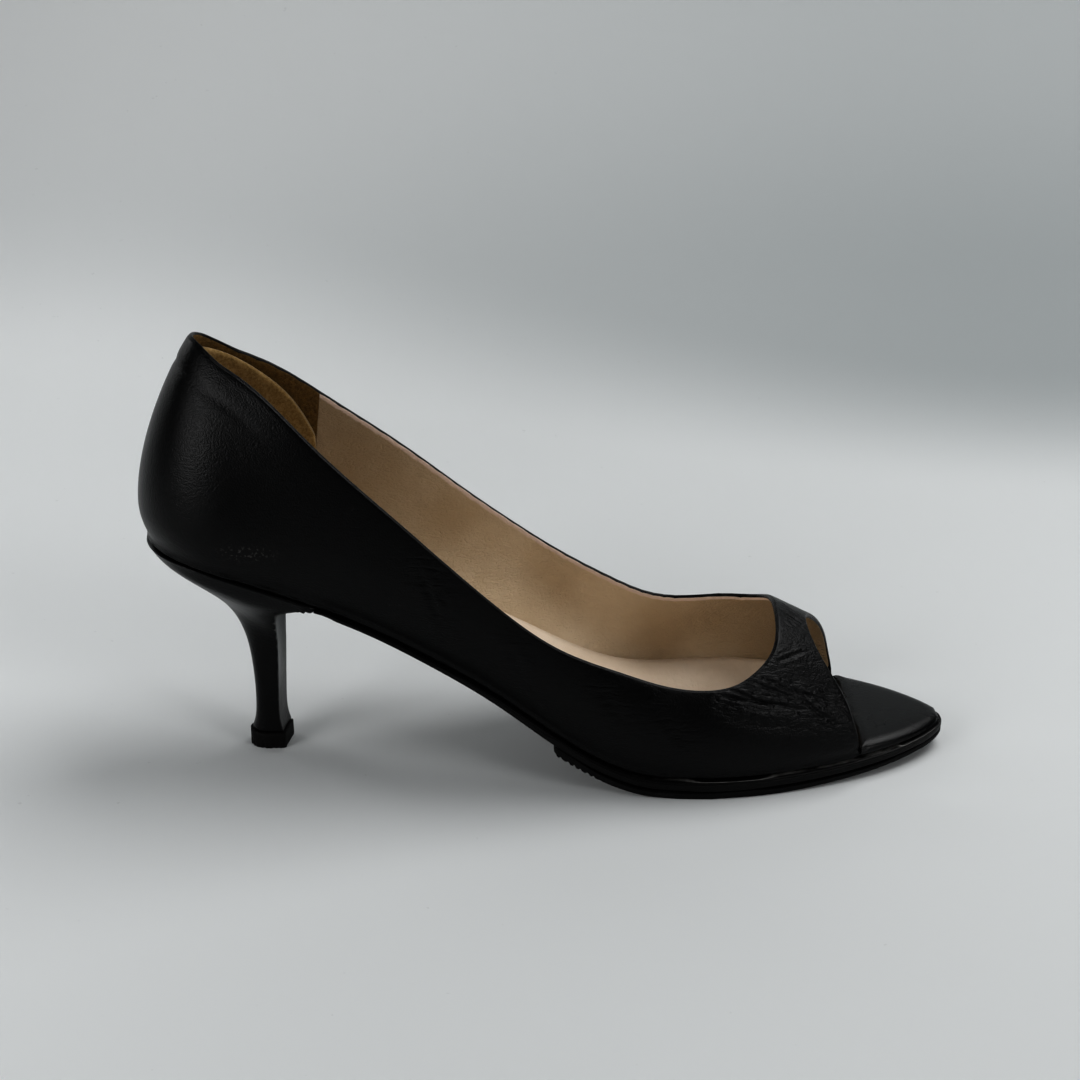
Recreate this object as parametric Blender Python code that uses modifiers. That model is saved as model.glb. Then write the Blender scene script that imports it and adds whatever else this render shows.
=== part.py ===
"""A right-foot peep toe pump on a slim curved heel, as an assembly of the pieces that a maker puts together.

Metres, +Z up. While it is modelled, X runs from the back of the heel (0) to the toe tip, -Y is the outer
(lateral) side and +Y the inner (medial) side. The last step moves the whole shoe so that the origin lies
under the middle of its box, on the floor.
"""
import math

import bmesh
import bpy
import numpy as np

# Sizes of the whole shoe
SHOE_LENGTH = 0.240
BALL_WIDTH = 0.0724
SEAT_HEIGHT = 0.0695
COLLAR_HEIGHT = 0.130
TOE_SPRING = 0.0022
FIT_GAP = 0.0003

# Thicknesses
WALL = 0.0018
INSOLE_THICKNESS = 0.0026
INSOLE_CUP = 0.0016
TOE_BED_TIP = 0.0018
OUTSOLE_THICKNESS = 0.0033
WAIST_THICKNESS = 0.0014
OUTSOLE_TIP = 0.0020
HALF_SOLE_THICKNESS = 0.0022
HALF_SOLE_TIP = 0.0014
GRIP_THICKNESS = 0.0022

# Plan of the last
SEAT_CENTRE = 0.030
FAN_SHARE = 0.16
LATERAL_TAPER_START = 0.165
MEDIAL_TAPER_START = 0.176
TAPER_SHARE = 0.70
TAPER_POWER = 1.65
TIP_ROUNDNESS = 9
TREAD_START = 0.152
TREAD_END = 0.184
SPRING_POWER = 1.5
VAMP_LEAN = 0.002

# Edges where the upper turns under the insole
EDGE_INSET = 0.0008
FEATHER_RADIUS = 0.0026
LASTING_MARGIN = 0.0085

# Heel and its top piece
STEM_BACK = 0.0312
STEM_BREAST = 0.0392
STEM_HALF_WIDTH = 0.0045
TOP_PIECE_THICKNESS = 0.0052
TOP_PIECE_FLARE = 0.0007
HEEL_INSET = 0.0006
HEEL_BREAST = 0.0540
BREAST_HOLLOW = 0.0030
BREAST_SKEW = 0.0007
BREAST_NARROWING = 0.07
FLARE_NARROWING = 0.13
HEEL_ROUND_SHARE = 0.56
HEEL_ROUND_POWER = 2.2

# Where the pieces of the forepart begin and end
HALF_SOLE_BACK = 0.1215
TOE_BED_BACK = 0.1960
TOE_BED_INSET = 0.0013
HALF_SOLE_INSET = 0.0002
TIP_INSET = 0.0002

# Rounding of the plates' edges
SOLE_ROUNDING = 0.0004
INSOLE_ROUNDING = 0.0006
TOE_BED_ROUNDING = 0.0010

LATERAL = -1
MEDIAL = 1
CROWN = 1.0
ROUNDING = 1e-9

# Height of the feather line above the tread, from the back to the start of the tread. Heights are shares
# of the rise from the tread to the seat.
SEAT_LINE_COLUMNS = ("along_length", "height")
SEAT_LINE = (
    (0.000, 1.003),
    (0.033, 0.994),
    (0.075, 0.967),
    (0.121, 0.918),
    (0.171, 0.850),
    (0.208, 0.793),
    (0.275, 0.683),
    (0.358, 0.519),
    (0.446, 0.334),
    (0.500, 0.200),
    (0.554, 0.084),
    (0.592, 0.028),
    (0.6333, 0.000),
)

# Sections of the last, from the back to the toe. Half widths of the sole and the swell of the wall beyond
# them are shares of the ball width, the height of the widest level and the crown are shares of the collar
# height, and lean and close shape the wall between the widest level and the crown.
SECTION_COLUMNS = (
    "along", "lateral", "medial", "lateral_swell", "medial_swell", "widest", "crown", "lean", "close",
)
SECTIONS = (
    (0.000, 0.383, 0.383, 0.022, 0.022, 0.090, 1.100, 1.60, 0.92),
    (0.080, 0.372, 0.372, 0.024, 0.024, 0.092, 1.112, 1.62, 0.94),
    (0.160, 0.353, 0.352, 0.033, 0.035, 0.105, 1.128, 1.70, 0.91),
    (0.250, 0.332, 0.312, 0.060, 0.078, 0.140, 1.170, 1.88, 0.68),
    (0.360, 0.325, 0.270, 0.080, 0.135, 0.162, 0.985, 2.00, 0.50),
    (0.440, 0.357, 0.280, 0.070, 0.142, 0.162, 0.850, 2.00, 0.50),
    (0.520, 0.415, 0.348, 0.046, 0.108, 0.140, 0.685, 2.00, 0.50),
    (0.590, 0.465, 0.415, 0.024, 0.064, 0.108, 0.545, 2.00, 0.50),
    (0.660, 0.493, 0.472, 0.010, 0.026, 0.078, 0.450, 1.95, 0.52),
    (0.730, 0.500, 0.500, 0.004, 0.008, 0.064, 0.400, 1.85, 0.54),
    (0.790, 0.500, 0.504, 0.002, 0.002, 0.052, 0.350, 1.80, 0.55),
    (0.830, 0.500, 0.504, 0.002, 0.002, 0.044, 0.312, 1.80, 0.55),
    (0.890, 0.500, 0.504, 0.002, 0.002, 0.036, 0.262, 1.80, 0.55),
    (1.000, 0.500, 0.504, 0.002, 0.002, 0.030, 0.200, 1.80, 0.55),
)

# The cut edges of the upper. A rib runs from the lower edge to the topline. Ribs count from -1 at the back,
# round the lateral side to 0 on the crown, and round the medial side to 1 at the back. Girth is 0 at the
# widest level of the lateral side, 1 on the crown and 2 at the widest level of the medial side.
EDGE_COLUMNS = ("rib", "along", "girth")
TOPLINE = (
    (-1.000, 0.000, 0.570),
    (-0.930, 0.079, 0.547),
    (-0.859, 0.160, 0.468),
    (-0.781, 0.248, 0.280),
    (-0.683, 0.360, 0.176),
    (-0.612, 0.440, 0.112),
    (-0.542, 0.520, 0.128),
    (-0.482, 0.588, 0.224),
    (-0.380, 0.668, 0.280),
    (-0.280, 0.728, 0.332),
    (-0.220, 0.752, 0.405),
    (-0.160, 0.773, 0.516),
    (-0.080, 0.787, 0.722),
    (0.000, 0.789, 1.000),
    (0.080, 0.786, 1.262),
    (0.160, 0.772, 1.436),
    (0.220, 0.753, 1.515),
    (0.280, 0.728, 1.588),
    (0.380, 0.668, 1.690),
    (0.482, 0.588, 1.733),
    (0.542, 0.520, 1.800),
    (0.612, 0.440, 1.830),
    (0.683, 0.360, 1.793),
    (0.781, 0.248, 1.740),
    (0.859, 0.160, 1.580),
    (0.930, 0.079, 1.484),
    (1.000, 0.000, 1.430),
)
PEEP_RIB = 0.22
PEEP_BASE = 0.884
PEEP_EDGE = (
    (-0.220, 0.884, 0.000),
    (-0.180, 0.877, 0.190),
    (-0.140, 0.865, 0.370),
    (-0.100, 0.849, 0.530),
    (-0.060, 0.834, 0.700),
    (-0.030, 0.828, 0.850),
    (0.000, 0.829, 1.000),
    (0.030, 0.836, 1.150),
    (0.060, 0.848, 1.300),
    (0.100, 0.861, 1.470),
    (0.140, 0.870, 1.630),
    (0.180, 0.877, 1.810),
    (0.220, 0.884, 2.000),
)

# Levels of the heel from its top piece up to the seat. Each column is a share of the way from the stem to
# the seat, except up, the share of the height.
HEEL_COLUMNS = ("up", "back", "breast", "width")
HEEL_LEVELS = (
    (0.000, 0.060, 0.060, 0.024),
    (0.050, 0.020, 0.010, 0.010),
    (0.120, 0.004, -0.015, 0.000),
    (0.244, 0.000, 0.000, 0.000),
    (0.404, 0.025, 0.027, 0.015),
    (0.508, 0.070, 0.047, 0.050),
    (0.600, 0.148, 0.061, 0.116),
    (0.672, 0.255, 0.064, 0.207),
    (0.734, 0.385, 0.074, 0.328),
    (0.805, 0.560, 0.101, 0.510),
    (0.865, 0.712, 0.137, 0.681),
    (0.905, 0.811, 0.180, 0.795),
    (0.932, 0.873, 0.250, 0.862),
    (0.949, 0.911, 0.415, 0.900),
    (0.966, 0.946, 0.640, 0.936),
    (0.984, 0.974, 0.840, 0.968),
    (1.000, 1.000, 1.000, 1.000),
)

# Outline of the grip pad inside the back, on both sides of the back centre. Along counts as in the sections,
# and top and bottom are girths.
GRIP_COLUMNS = ("round", "along", "top", "bottom")
GRIP_OUTLINE = (
    (0.00, 0.000, 0.515, 0.220),
    (0.28, 0.070, 0.482, 0.190),
    (0.46, 0.111, 0.458, 0.160),
    (0.66, 0.158, 0.405, 0.120),
    (0.82, 0.192, 0.315, 0.085),
    (0.94, 0.224, 0.215, 0.070),
    (1.00, 0.240, 0.140, 0.090),
)

# Mesh fineness
RIBS = 100
WALL_ROWS = 9
SIDE_POINTS = 13
GRIP_COLUMNS_EACH_SIDE = 14
GRIP_ROWS = 6


class Curve:
    """A cubic spline through one column of a table, level at its ends where asked."""

    def __init__(self, columns, rows, column, level_start=False, level_end=False):
        pick = columns.index(column)
        self.x = np.array([row[0] for row in rows])
        self.y = np.array([row[pick] for row in rows])
        step = np.diff(self.x)
        slope = np.diff(self.y) / step
        count = len(rows)
        matrix = np.eye(count)
        right = np.zeros(count)
        for i in range(1, count - 1):
            matrix[i, i - 1 : i + 2] = step[i - 1], 2 * (step[i - 1] + step[i]), step[i]
            right[i] = 6 * (slope[i] - slope[i - 1])
        if level_start:
            matrix[0, :2] = 2 * step[0], step[0]
            right[0] = 6 * slope[0]
        if level_end:
            matrix[-1, -2:] = step[-1], 2 * step[-1]
            right[-1] = -6 * slope[-1]
        self.bend = np.linalg.solve(matrix, right)

    def __call__(self, x):
        x = min(max(x, self.x[0]), self.x[-1])
        i = min(int(np.searchsorted(self.x, x, side="right")) - 1, len(self.x) - 2)
        step = self.x[i + 1] - self.x[i]
        a = (self.x[i + 1] - x) / step
        b = 1 - a
        bent = ((a**3 - a) * self.bend[i] + (b**3 - b) * self.bend[i + 1]) * step**2 / 6
        return float(a * self.y[i] + b * self.y[i + 1] + bent)


def curves(columns, rows):
    """One spline for each column after the first."""
    return {name: Curve(columns, rows, name) for name in columns[1:]}


SEAT_CURVE = Curve(SEAT_LINE_COLUMNS, SEAT_LINE, "height", level_end=True)
SECTION = curves(SECTION_COLUMNS, SECTIONS)
TOP = curves(EDGE_COLUMNS, TOPLINE)
PEEP = curves(EDGE_COLUMNS, PEEP_EDGE)
GRIP = curves(GRIP_COLUMNS, GRIP_OUTLINE)
TREAD_HEIGHT = HALF_SOLE_THICKNESS + FIT_GAP + OUTSOLE_THICKNESS + FIT_GAP


def toward_tip(x):
    """0 where the shoe stands on its forepart, 1 at the toe tip, rising ever faster."""
    return max(0.0, (x - TREAD_END) / (SHOE_LENGTH - TREAD_END)) ** SPRING_POWER


def seat_line(x):
    """Height of the feather line, where the upper turns under, at a distance x from the back."""
    if x >= TREAD_START:
        return TREAD_HEIGHT + TOE_SPRING * toward_tip(x)
    last = SEAT_LINE[-1][0]
    return TREAD_HEIGHT + (SEAT_HEIGHT - TREAD_HEIGHT) * SEAT_CURVE(x / TREAD_START * last)


def level(x, above):
    """Height of a level this far above the feather line, measured square to the line."""
    step = 0.001
    slope = (seat_line(x + step) - seat_line(x - step)) / (2 * step)
    return seat_line(x) + above * math.hypot(1, slope)


def x_at(along):
    """Distance from the back of the centre that a section at this share is drawn from."""
    beyond = max(0.0, along - FAN_SHARE) / (1 - FAN_SHARE)
    return SEAT_CENTRE + beyond * (SHOE_LENGTH - SEAT_CENTRE)


def along_at(x):
    """The share of the section that crosses the centre line at x, ahead of the heel."""
    return FAN_SHARE + (x - SEAT_CENTRE) / (SHOE_LENGTH - SEAT_CENTRE) * (1 - FAN_SHARE)


def direction(along, side):
    """The plan direction from the centre to the wall: sections fan out round the back of the heel."""
    turn = min(along / FAN_SHARE, 1.0) * math.pi / 2
    return -math.cos(turn), side * math.sin(turn)


def sole_reach(along, side):
    """Distance from the centre to the edge of the sole."""
    name, start = ("lateral", LATERAL_TAPER_START) if side == LATERAL else ("medial", MEDIAL_TAPER_START)
    share = min(1.0, max(0.0, (x_at(along) - start) / (SHOE_LENGTH - start)))
    taper = 1 - TAPER_SHARE * share**TAPER_POWER
    tip = math.sqrt(1 - share**TIP_ROUNDNESS)
    return BALL_WIDTH * SECTION[name](along) * taper * tip


def wall_reach(along, side):
    """Distance from the centre to the wall at its widest level."""
    name = "lateral_swell" if side == LATERAL else "medial_swell"
    return sole_reach(along, side) + BALL_WIDTH * SECTION[name](along) - EDGE_INSET / 2


def place(along, side, reach, height, shift=0.0):
    """The point at a distance from the centre of a section, at a height."""
    dx, dy = direction(along, side)
    return (x_at(along) + dx * reach, dy * reach + shift, height)


def rim_height(along, side):
    """Height of the feather line where a section meets the edge of the sole."""
    dx, _ = direction(along, side)
    return seat_line(x_at(along) + dx * sole_reach(along, side))


def wall_point(along, girth):
    """A point of the outer face of the last, between the widest level and the crown."""
    side, turn = (LATERAL, girth) if girth <= CROWN else (MEDIAL, 2 * CROWN - girth)
    rise = math.sin(turn * math.pi / 2)
    low = rim_height(along, side) + COLLAR_HEIGHT * SECTION["widest"](along)
    high = COLLAR_HEIGHT * SECTION["crown"](along)
    shrink = max(0.0, 1 - rise ** SECTION["lean"](along)) ** SECTION["close"](along)
    ahead = min(1.0, max(0.0, along - FAN_SHARE) / FAN_SHARE)
    shift = VAMP_LEAN * rise**2 * ahead
    return place(along, side, wall_reach(along, side) * shrink, low + (high - low) * rise, shift)


def under_points(along, side):
    """From just below the widest level, down the tuck, round the feather edge and in along the margin."""
    reach = wall_reach(along, side)
    feather = sole_reach(along, side) - EDGE_INSET
    floor = rim_height(along, side)
    drop = COLLAR_HEIGHT * SECTION["widest"](along) - FEATHER_RADIUS
    points = []
    for step in (0.3, 0.55, 0.78, 1.0):
        inset = (reach - feather) * step**2
        points.append(place(along, side, reach - inset, floor + FEATHER_RADIUS + drop * (1 - step)))
    for turn in (30, 60, 90):
        a = math.radians(turn)
        inset = FEATHER_RADIUS * (1 - math.cos(a))
        x, y, _ = place(along, side, feather - inset, 0)
        points.append((x, y, seat_line(x) + FEATHER_RADIUS * (1 - math.sin(a))))
    for share in (0.6, 1.0):
        inset = FEATHER_RADIUS + (LASTING_MARGIN - FEATHER_RADIUS) * share
        x, y, _ = place(along, side, feather - inset, 0)
        points.append((x, y, seat_line(x)))
    return points


def lower_edge(rib):
    """(along, girth) of the lower end of a rib: on the widest level, or on the edge of the peep opening."""
    if abs(rib) < PEEP_RIB - ROUNDING:
        return PEEP["along"](rib), PEEP["girth"](rib)
    share = (1 - abs(rib)) / (1 - PEEP_RIB)
    return PEEP_BASE * share, 0.0 if rib < 0 else 2 * CROWN


def rib_points(rib):
    """Outer face points of one rib, from the topline down to the end of the lasting margin."""
    top = TOP["along"](rib), TOP["girth"](rib)
    low = lower_edge(rib)
    points = []
    for row in range(WALL_ROWS + 1):
        share = row / WALL_ROWS
        along, girth = (t + (b - t) * share for t, b in zip(top, low))
        points.append(wall_point(along, girth))
    if abs(rib) >= PEEP_RIB - ROUNDING:
        points += under_points(low[0], LATERAL if rib < 0 else MEDIAL)
    return points


def material(name, colour, roughness, metallic=0.0):
    made = bpy.data.materials.new(name)
    made.use_nodes = True
    shader = made.node_tree.nodes["Principled BSDF"]
    shader.inputs["Base Color"].default_value = (*colour, 1.0)
    shader.inputs["Roughness"].default_value = roughness
    shader.inputs["Metallic"].default_value = metallic
    return made


def finish(name, bm, look, smooth_angle=35):
    """Turns a bmesh into a named object with its material, shaded smooth up to an angle."""
    mesh = bpy.data.meshes.new(name)
    bm.to_mesh(mesh)
    bm.free()
    mesh.materials.append(look)
    mesh.shade_smooth()
    mesh.set_sharp_from_angle(angle=math.radians(smooth_angle))
    made = bpy.data.objects.new(name, mesh)
    SHOE.objects.link(made)
    return made


def strip(bm, first, second):
    """Quads between two rows of vertices, as far as the shorter one goes."""
    for a, b, c, d in zip(first, first[1:], second[1:], second):
        bm.faces.new((a, b, c, d))


def loft(loops):
    """A closed body through loops of points. Each end is closed with a strip between its two sides."""
    bm = bmesh.new()
    rings = [[bm.verts.new(point) for point in loop] for loop in loops]
    for low, high in zip(rings, rings[1:]):
        strip(bm, low + low[:1], high + high[:1])
    for ring in (rings[0], rings[-1]):
        near, far = ring[: len(ring) // 2], ring[len(ring) // 2 :][::-1]
        strip(bm, near, far)
    bmesh.ops.recalc_face_normals(bm, faces=bm.faces)
    return bm


def slab(stations, edges, bottom, top, rounding, cup=0.0):
    """A plate that follows the foot: a ring of points across each station, closed at both ends.

    edges gives the lateral and medial reach at x, and bottom and top give the heights there.
    """
    loops = []
    for x in stations:
        lateral, medial = edges(x)
        low, high = bottom(x), top(x)
        soft = min(rounding, lateral * 0.6, medial * 0.6)
        across = (-lateral, -lateral * 0.62, 0.0, medial * 0.62, medial)
        upper = [(x, -lateral, high - soft)]
        for share, y in zip((1.0, 0.15, 0.0, 0.15, 1.0), across):
            pulled = max(-lateral + soft, min(medial - soft, y))
            upper.append((x, pulled, high + cup * share))
        upper.append((x, medial, high - soft))
        under = [(x, medial, low + soft * 0.5)]
        under += [(x, max(-lateral + soft * 0.5, min(medial - soft * 0.5, y)), low) for y in across[::-1]]
        under += [(x, -lateral, low + soft * 0.5)]
        loops.append(upper + under)
    return loft(loops)


def spaced(start, end, count, round_start=False, round_end=False):
    """Stations between two ends, closer together where an end is round."""
    shares = []
    for i in range(count + 1):
        t = i / count
        if round_start and round_end:
            t = (1 - math.cos(math.pi * t)) / 2
        elif round_end:
            t = math.sin(math.pi / 2 * t)
        elif round_start:
            t = 1 - math.cos(math.pi / 2 * t)
        shares.append(t)
    return [start + (end - start) * t for t in shares]


def reach_at(x, side, inset):
    """Half width of the sole at x, less an inset all round, also where the heel's back rounds off."""
    if x >= SEAT_CENTRE:
        return max(sole_reach(along_at(x), side) - inset, 0.0004)
    low, high = 0.0, FAN_SHARE
    for _ in range(30):
        middle = (low + high) / 2
        dx, _ = direction(middle, side)
        if SEAT_CENTRE + dx * (sole_reach(middle, side) - inset) < x:
            low = middle
        else:
            high = middle
    _, dy = direction(high, side)
    return max(abs(dy) * (sole_reach(high, side) - inset), 0.0004)


def edges(inset):
    return lambda x: (reach_at(x, LATERAL, inset), reach_at(x, MEDIAL, inset))


def make_upper():
    """One hollow shell: quarters, counter and vamp, open at the collar, the peep toe and underneath."""
    bm = bmesh.new()
    ribs = [-1 + 2 * i / RIBS for i in range(RIBS)]
    columns = [[bm.verts.new(point) for point in rib_points(rib)] for rib in ribs]
    for left, right in zip(columns, columns[1:] + columns[:1]):
        strip(bm, left, right)
    made = finish("upper", bm, LEATHER)
    shell = made.modifiers.new("Wall", "SOLIDIFY")
    shell.thickness = WALL
    shell.offset = -1
    shell.use_even_offset = True
    return made


def wall_inside(signed_along, turn, depth):
    """A point at a depth behind the outer face. Along is negative on the lateral side, turn counts up."""

    def face(s, g):
        return np.array(wall_point(abs(s), g if s < 0 else 2 * CROWN - g))

    step = 0.002
    across = face(signed_along + step, turn) - face(signed_along - step, turn)
    up = face(signed_along, turn + step) - face(signed_along, turn - step)
    inward = np.cross(across, up)
    return face(signed_along, turn) + inward / np.linalg.norm(inward) * depth


def make_grip():
    """The suede pad stuck inside the back, wrapped round both sides of the counter."""
    bm = bmesh.new()
    columns = []
    for i in range(-GRIP_COLUMNS_EACH_SIDE, GRIP_COLUMNS_EACH_SIDE + 1):
        share = abs(i) / GRIP_COLUMNS_EACH_SIDE
        along = math.copysign(GRIP["along"](share), i)
        top, bottom = GRIP["top"](share), GRIP["bottom"](share)
        turns = [top + (bottom - top) * row / GRIP_ROWS for row in range(GRIP_ROWS + 1)]
        columns.append([bm.verts.new(wall_inside(along, turn, WALL + FIT_GAP)) for turn in turns])
    for left, right in zip(columns, columns[1:]):
        strip(bm, left, right)
    made = finish("heel_grip", bm, SUEDE)
    pad = made.modifiers.new("Pad", "SOLIDIFY")
    pad.thickness = GRIP_THICKNESS
    pad.offset = 1
    pad.use_even_offset = True
    return made


def make_insole():
    """The sock-covered insole, inside the upper and on its turned-in margin, back to under the vamp."""
    inset = EDGE_INSET + WALL + 2 * FIT_GAP
    back = SEAT_CENTRE - sole_reach(0, LATERAL) + inset
    stations = spaced(back, TOE_BED_BACK - FIT_GAP / 2, 34, round_start=True)
    low = WALL + FIT_GAP
    bottom, top = lambda x: level(x, low), lambda x: level(x, low + INSOLE_THICKNESS)
    bm = slab(stations, edges(inset), bottom, top, INSOLE_ROUNDING, cup=INSOLE_CUP)
    return finish("insole", bm, SOCK)


def make_toe_bed():
    """The black leather-covered front of the insole, bare of upper ahead of the peep opening."""
    step = x_at(PEEP_BASE) + FIT_GAP
    under = EDGE_INSET + WALL + 2 * FIT_GAP
    stations = spaced(TOE_BED_BACK + FIT_GAP / 2, step - FIT_GAP / 2, 4)
    stations += spaced(step, SHOE_LENGTH - TOE_BED_INSET, 14, round_end=True)
    inset = lambda x: under if x < step else TOE_BED_INSET
    bottom = lambda x: level(x, WALL + FIT_GAP if x < step else 0.0)
    full = WALL + FIT_GAP + INSOLE_THICKNESS
    top = lambda x: level(x, full + (TOE_BED_TIP - full) * toward_tip(x) ** 1.4)
    bm = slab(stations, lambda x: edges(inset(x))(x), bottom, top, TOE_BED_ROUNDING)
    return finish("toe_bed", bm, LEATHER)


def sole_stations(start, count):
    """Stations from a start to the toe tip, evenly spaced as far as the tread goes."""
    return spaced(start, TREAD_END, count) + spaced(TREAD_END, SHOE_LENGTH - TIP_INSET, 18, round_end=True)[1:]


def outsole_thickness(x):
    """Thin under the waist, full at the ball, thinner again at the toe tip."""
    share = min(1.0, max(0.0, (x - HEEL_BREAST) / (TREAD_START - HEEL_BREAST)))
    full = WAIST_THICKNESS + (OUTSOLE_THICKNESS - WAIST_THICKNESS) * share**2 * (3 - 2 * share)
    return full + (OUTSOLE_TIP - full) * toward_tip(x)


def make_outsole():
    """The leather sole from the heel's breast to the toe tip."""
    stations = sole_stations(HEEL_BREAST + FIT_GAP, 20)
    top = lambda x: level(x, -FIT_GAP)
    bottom = lambda x: level(x, -FIT_GAP - outsole_thickness(x))
    bm = slab(stations, edges(0), bottom, top, SOLE_ROUNDING)
    return finish("outsole", bm, SOLE_EDGE)


def make_half_sole():
    """The rubber sole stuck under the forepart."""
    stations = sole_stations(HALF_SOLE_BACK, 14)
    thickness = lambda x: HALF_SOLE_THICKNESS + (HALF_SOLE_TIP - HALF_SOLE_THICKNESS) * toward_tip(x)
    top = lambda x: level(x, -2 * FIT_GAP - outsole_thickness(x))
    bottom = lambda x: level(x, -2 * FIT_GAP - outsole_thickness(x) - thickness(x))
    bm = slab(stations, edges(HALF_SOLE_INSET), bottom, top, SOLE_ROUNDING)
    return finish("half_sole", bm, RUBBER)


def heel_loop(back, breast, half_width, height_at, hollow=0.0, narrowing=BREAST_NARROWING, skew=0.0):
    """A D-shaped loop: round at the back, widest past its middle, flat or hollow across the breast.

    The breast is narrower than the widest place by a share, and its medial corner stands ahead by the skew.
    """
    sides = []
    for i in range(SIDE_POINTS):
        share = 1 - math.cos(math.pi / 2 * i / (SIDE_POINTS - 1))
        x = back + (breast - back) * share
        behind = max(0.0, 1 - share / HEEL_ROUND_SHARE)
        ahead = max(0.0, share - HEEL_ROUND_SHARE) / (1 - HEEL_ROUND_SHARE)
        rounded = (1 - behind**HEEL_ROUND_POWER) ** (1 / HEEL_ROUND_POWER)
        sides.append((x, half_width * rounded * (1 - narrowing * ahead**2)))
    sides[0] = (back, half_width * 0.02)
    corner = sides[-1][1]
    middle = [(breast - hollow * (1 - y * y), -corner * y) for y in (0.6, 0.2)]
    lateral = [(x, -y) for x, y in sides] + [(x, -abs(y)) for x, y in middle]
    medial = [(x, -y) for x, y in lateral[::-1]]
    lean = skew / (half_width * (breast - back))
    return [(x + lean * y * (x - back), y, height_at(x)) for x, y in lateral + medial]


def make_heel():
    """The leather-covered heel: a slim stem that flares back and sideways to the seat."""
    seat_back = SEAT_CENTRE - sole_reach(0, LATERAL) + HEEL_INSET
    seat_half = sole_reach(FAN_SHARE, LATERAL) - HEEL_INSET
    floor = TOP_PIECE_THICKNESS + FIT_GAP
    loops = []
    for up, back, breast, width in HEEL_LEVELS:
        x_back = STEM_BACK + (seat_back - STEM_BACK) * back
        x_breast = STEM_BREAST + (HEEL_BREAST - STEM_BREAST) * breast
        half = STEM_HALF_WIDTH + (seat_half - STEM_HALF_WIDTH) * width

        def height_at(x, up=up, x_back=x_back, x_breast=x_breast):
            share = (x - x_back) / (x_breast - x_back)
            seat = seat_line(seat_back + (HEEL_BREAST - seat_back) * share) - FIT_GAP
            return floor + (seat - floor) * up

        flaring = 4 * width * (1 - width)
        narrowing = BREAST_NARROWING + FLARE_NARROWING * flaring
        skew = BREAST_SKEW * (1 - width) ** 4
        loops.append(heel_loop(x_back, x_breast, half, height_at, BREAST_HOLLOW * flaring, narrowing, skew))
    return finish("heel", loft(loops), HEEL_COVER, smooth_angle=40)


def make_top_piece():
    """The worn rubber tip under the heel."""
    loops = []
    for height, flare in ((0.0, TOP_PIECE_FLARE), (TOP_PIECE_THICKNESS, TOP_PIECE_FLARE)):
        back = STEM_BACK - 0.0017 - flare
        breast = STEM_BREAST + 0.0010 + flare / 2
        half = STEM_HALF_WIDTH + 0.0004 + flare / 2
        loops.append(heel_loop(back, breast, half, lambda x, z=height: z, skew=BREAST_SKEW))
    return finish("top_piece", loft(loops), RUBBER)


def stand_on_floor(parts):
    """Moves the shoe so that the origin lies under the middle of its box, on the floor."""
    bpy.context.view_layer.update()
    graph = bpy.context.evaluated_depsgraph_get()
    corners = np.array([corner[:] for part in parts for corner in part.evaluated_get(graph).bound_box])
    low, high = corners.min(0), corners.max(0)
    for part in parts:
        part.location = (-(low[0] + high[0]) / 2, -(low[1] + high[1]) / 2, -low[2])


for old in list(bpy.data.objects):
    bpy.data.objects.remove(old)
SHOE = bpy.data.collections.new("peep_toe_pump")
bpy.context.scene.collection.children.link(SHOE)

LEATHER = material("black leather", (0.012, 0.012, 0.013), 0.35)
HEEL_COVER = material("heel leather", (0.012, 0.012, 0.013), 0.32)
SOLE_EDGE = material("black sole edge", (0.015, 0.015, 0.015), 0.4)
RUBBER = material("black rubber", (0.012, 0.012, 0.012), 0.6)
SUEDE = material("tan suede", (0.40, 0.27, 0.16), 0.9)
SOCK = material("beige sock leather", (0.52, 0.38, 0.28), 0.55)

stand_on_floor(
    [
        make_upper(),
        make_grip(),
        make_insole(),
        make_toe_bed(),
        make_outsole(),
        make_half_sole(),
        make_heel(),
        make_top_piece(),
    ]
)
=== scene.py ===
"""Looks of a black leather peep toe pump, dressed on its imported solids.

Metres, +Z up, the toe along +X and the outer side of the foot at -Y. The origin is on the floor, under the
middle of the shoe. Shapes are worked out in millimetres of the same frame.
"""

import logging
import math
from dataclasses import dataclass
from enum import Enum

import bmesh
import bpy
import numpy as np
from bpy.types import Material, Mesh, Node, NodeSocket, NodeTree, Object, bpy_prop_collection
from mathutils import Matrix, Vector
from mathutils.kdtree import KDTree


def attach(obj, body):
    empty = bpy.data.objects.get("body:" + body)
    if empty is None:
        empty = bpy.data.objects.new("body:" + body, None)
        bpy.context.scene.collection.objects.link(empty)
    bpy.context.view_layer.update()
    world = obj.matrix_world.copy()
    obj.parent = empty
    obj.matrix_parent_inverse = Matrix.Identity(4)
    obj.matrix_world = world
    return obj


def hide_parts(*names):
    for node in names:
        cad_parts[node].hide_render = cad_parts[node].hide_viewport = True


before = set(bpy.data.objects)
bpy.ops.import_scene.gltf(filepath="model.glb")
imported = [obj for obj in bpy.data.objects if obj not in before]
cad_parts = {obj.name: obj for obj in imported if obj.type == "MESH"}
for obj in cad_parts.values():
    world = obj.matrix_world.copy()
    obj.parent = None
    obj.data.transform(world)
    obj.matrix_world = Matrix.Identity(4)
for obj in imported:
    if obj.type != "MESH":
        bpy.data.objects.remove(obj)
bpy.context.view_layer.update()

MM = 0.001
BODY = "root"
MERGE_DISTANCE = 0.01 * MM
RIDGE_HEIGHT = 0.45
RIDGE_PLACE = 1.9
QUAD_TURN = math.radians(35)
QUAD_SKEW = math.radians(50)
CRISPNESS = 0.85

log = logging.getLogger("pump")
logging.basicConfig(level=logging.INFO, format="%(name)s: %(message)s")

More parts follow.
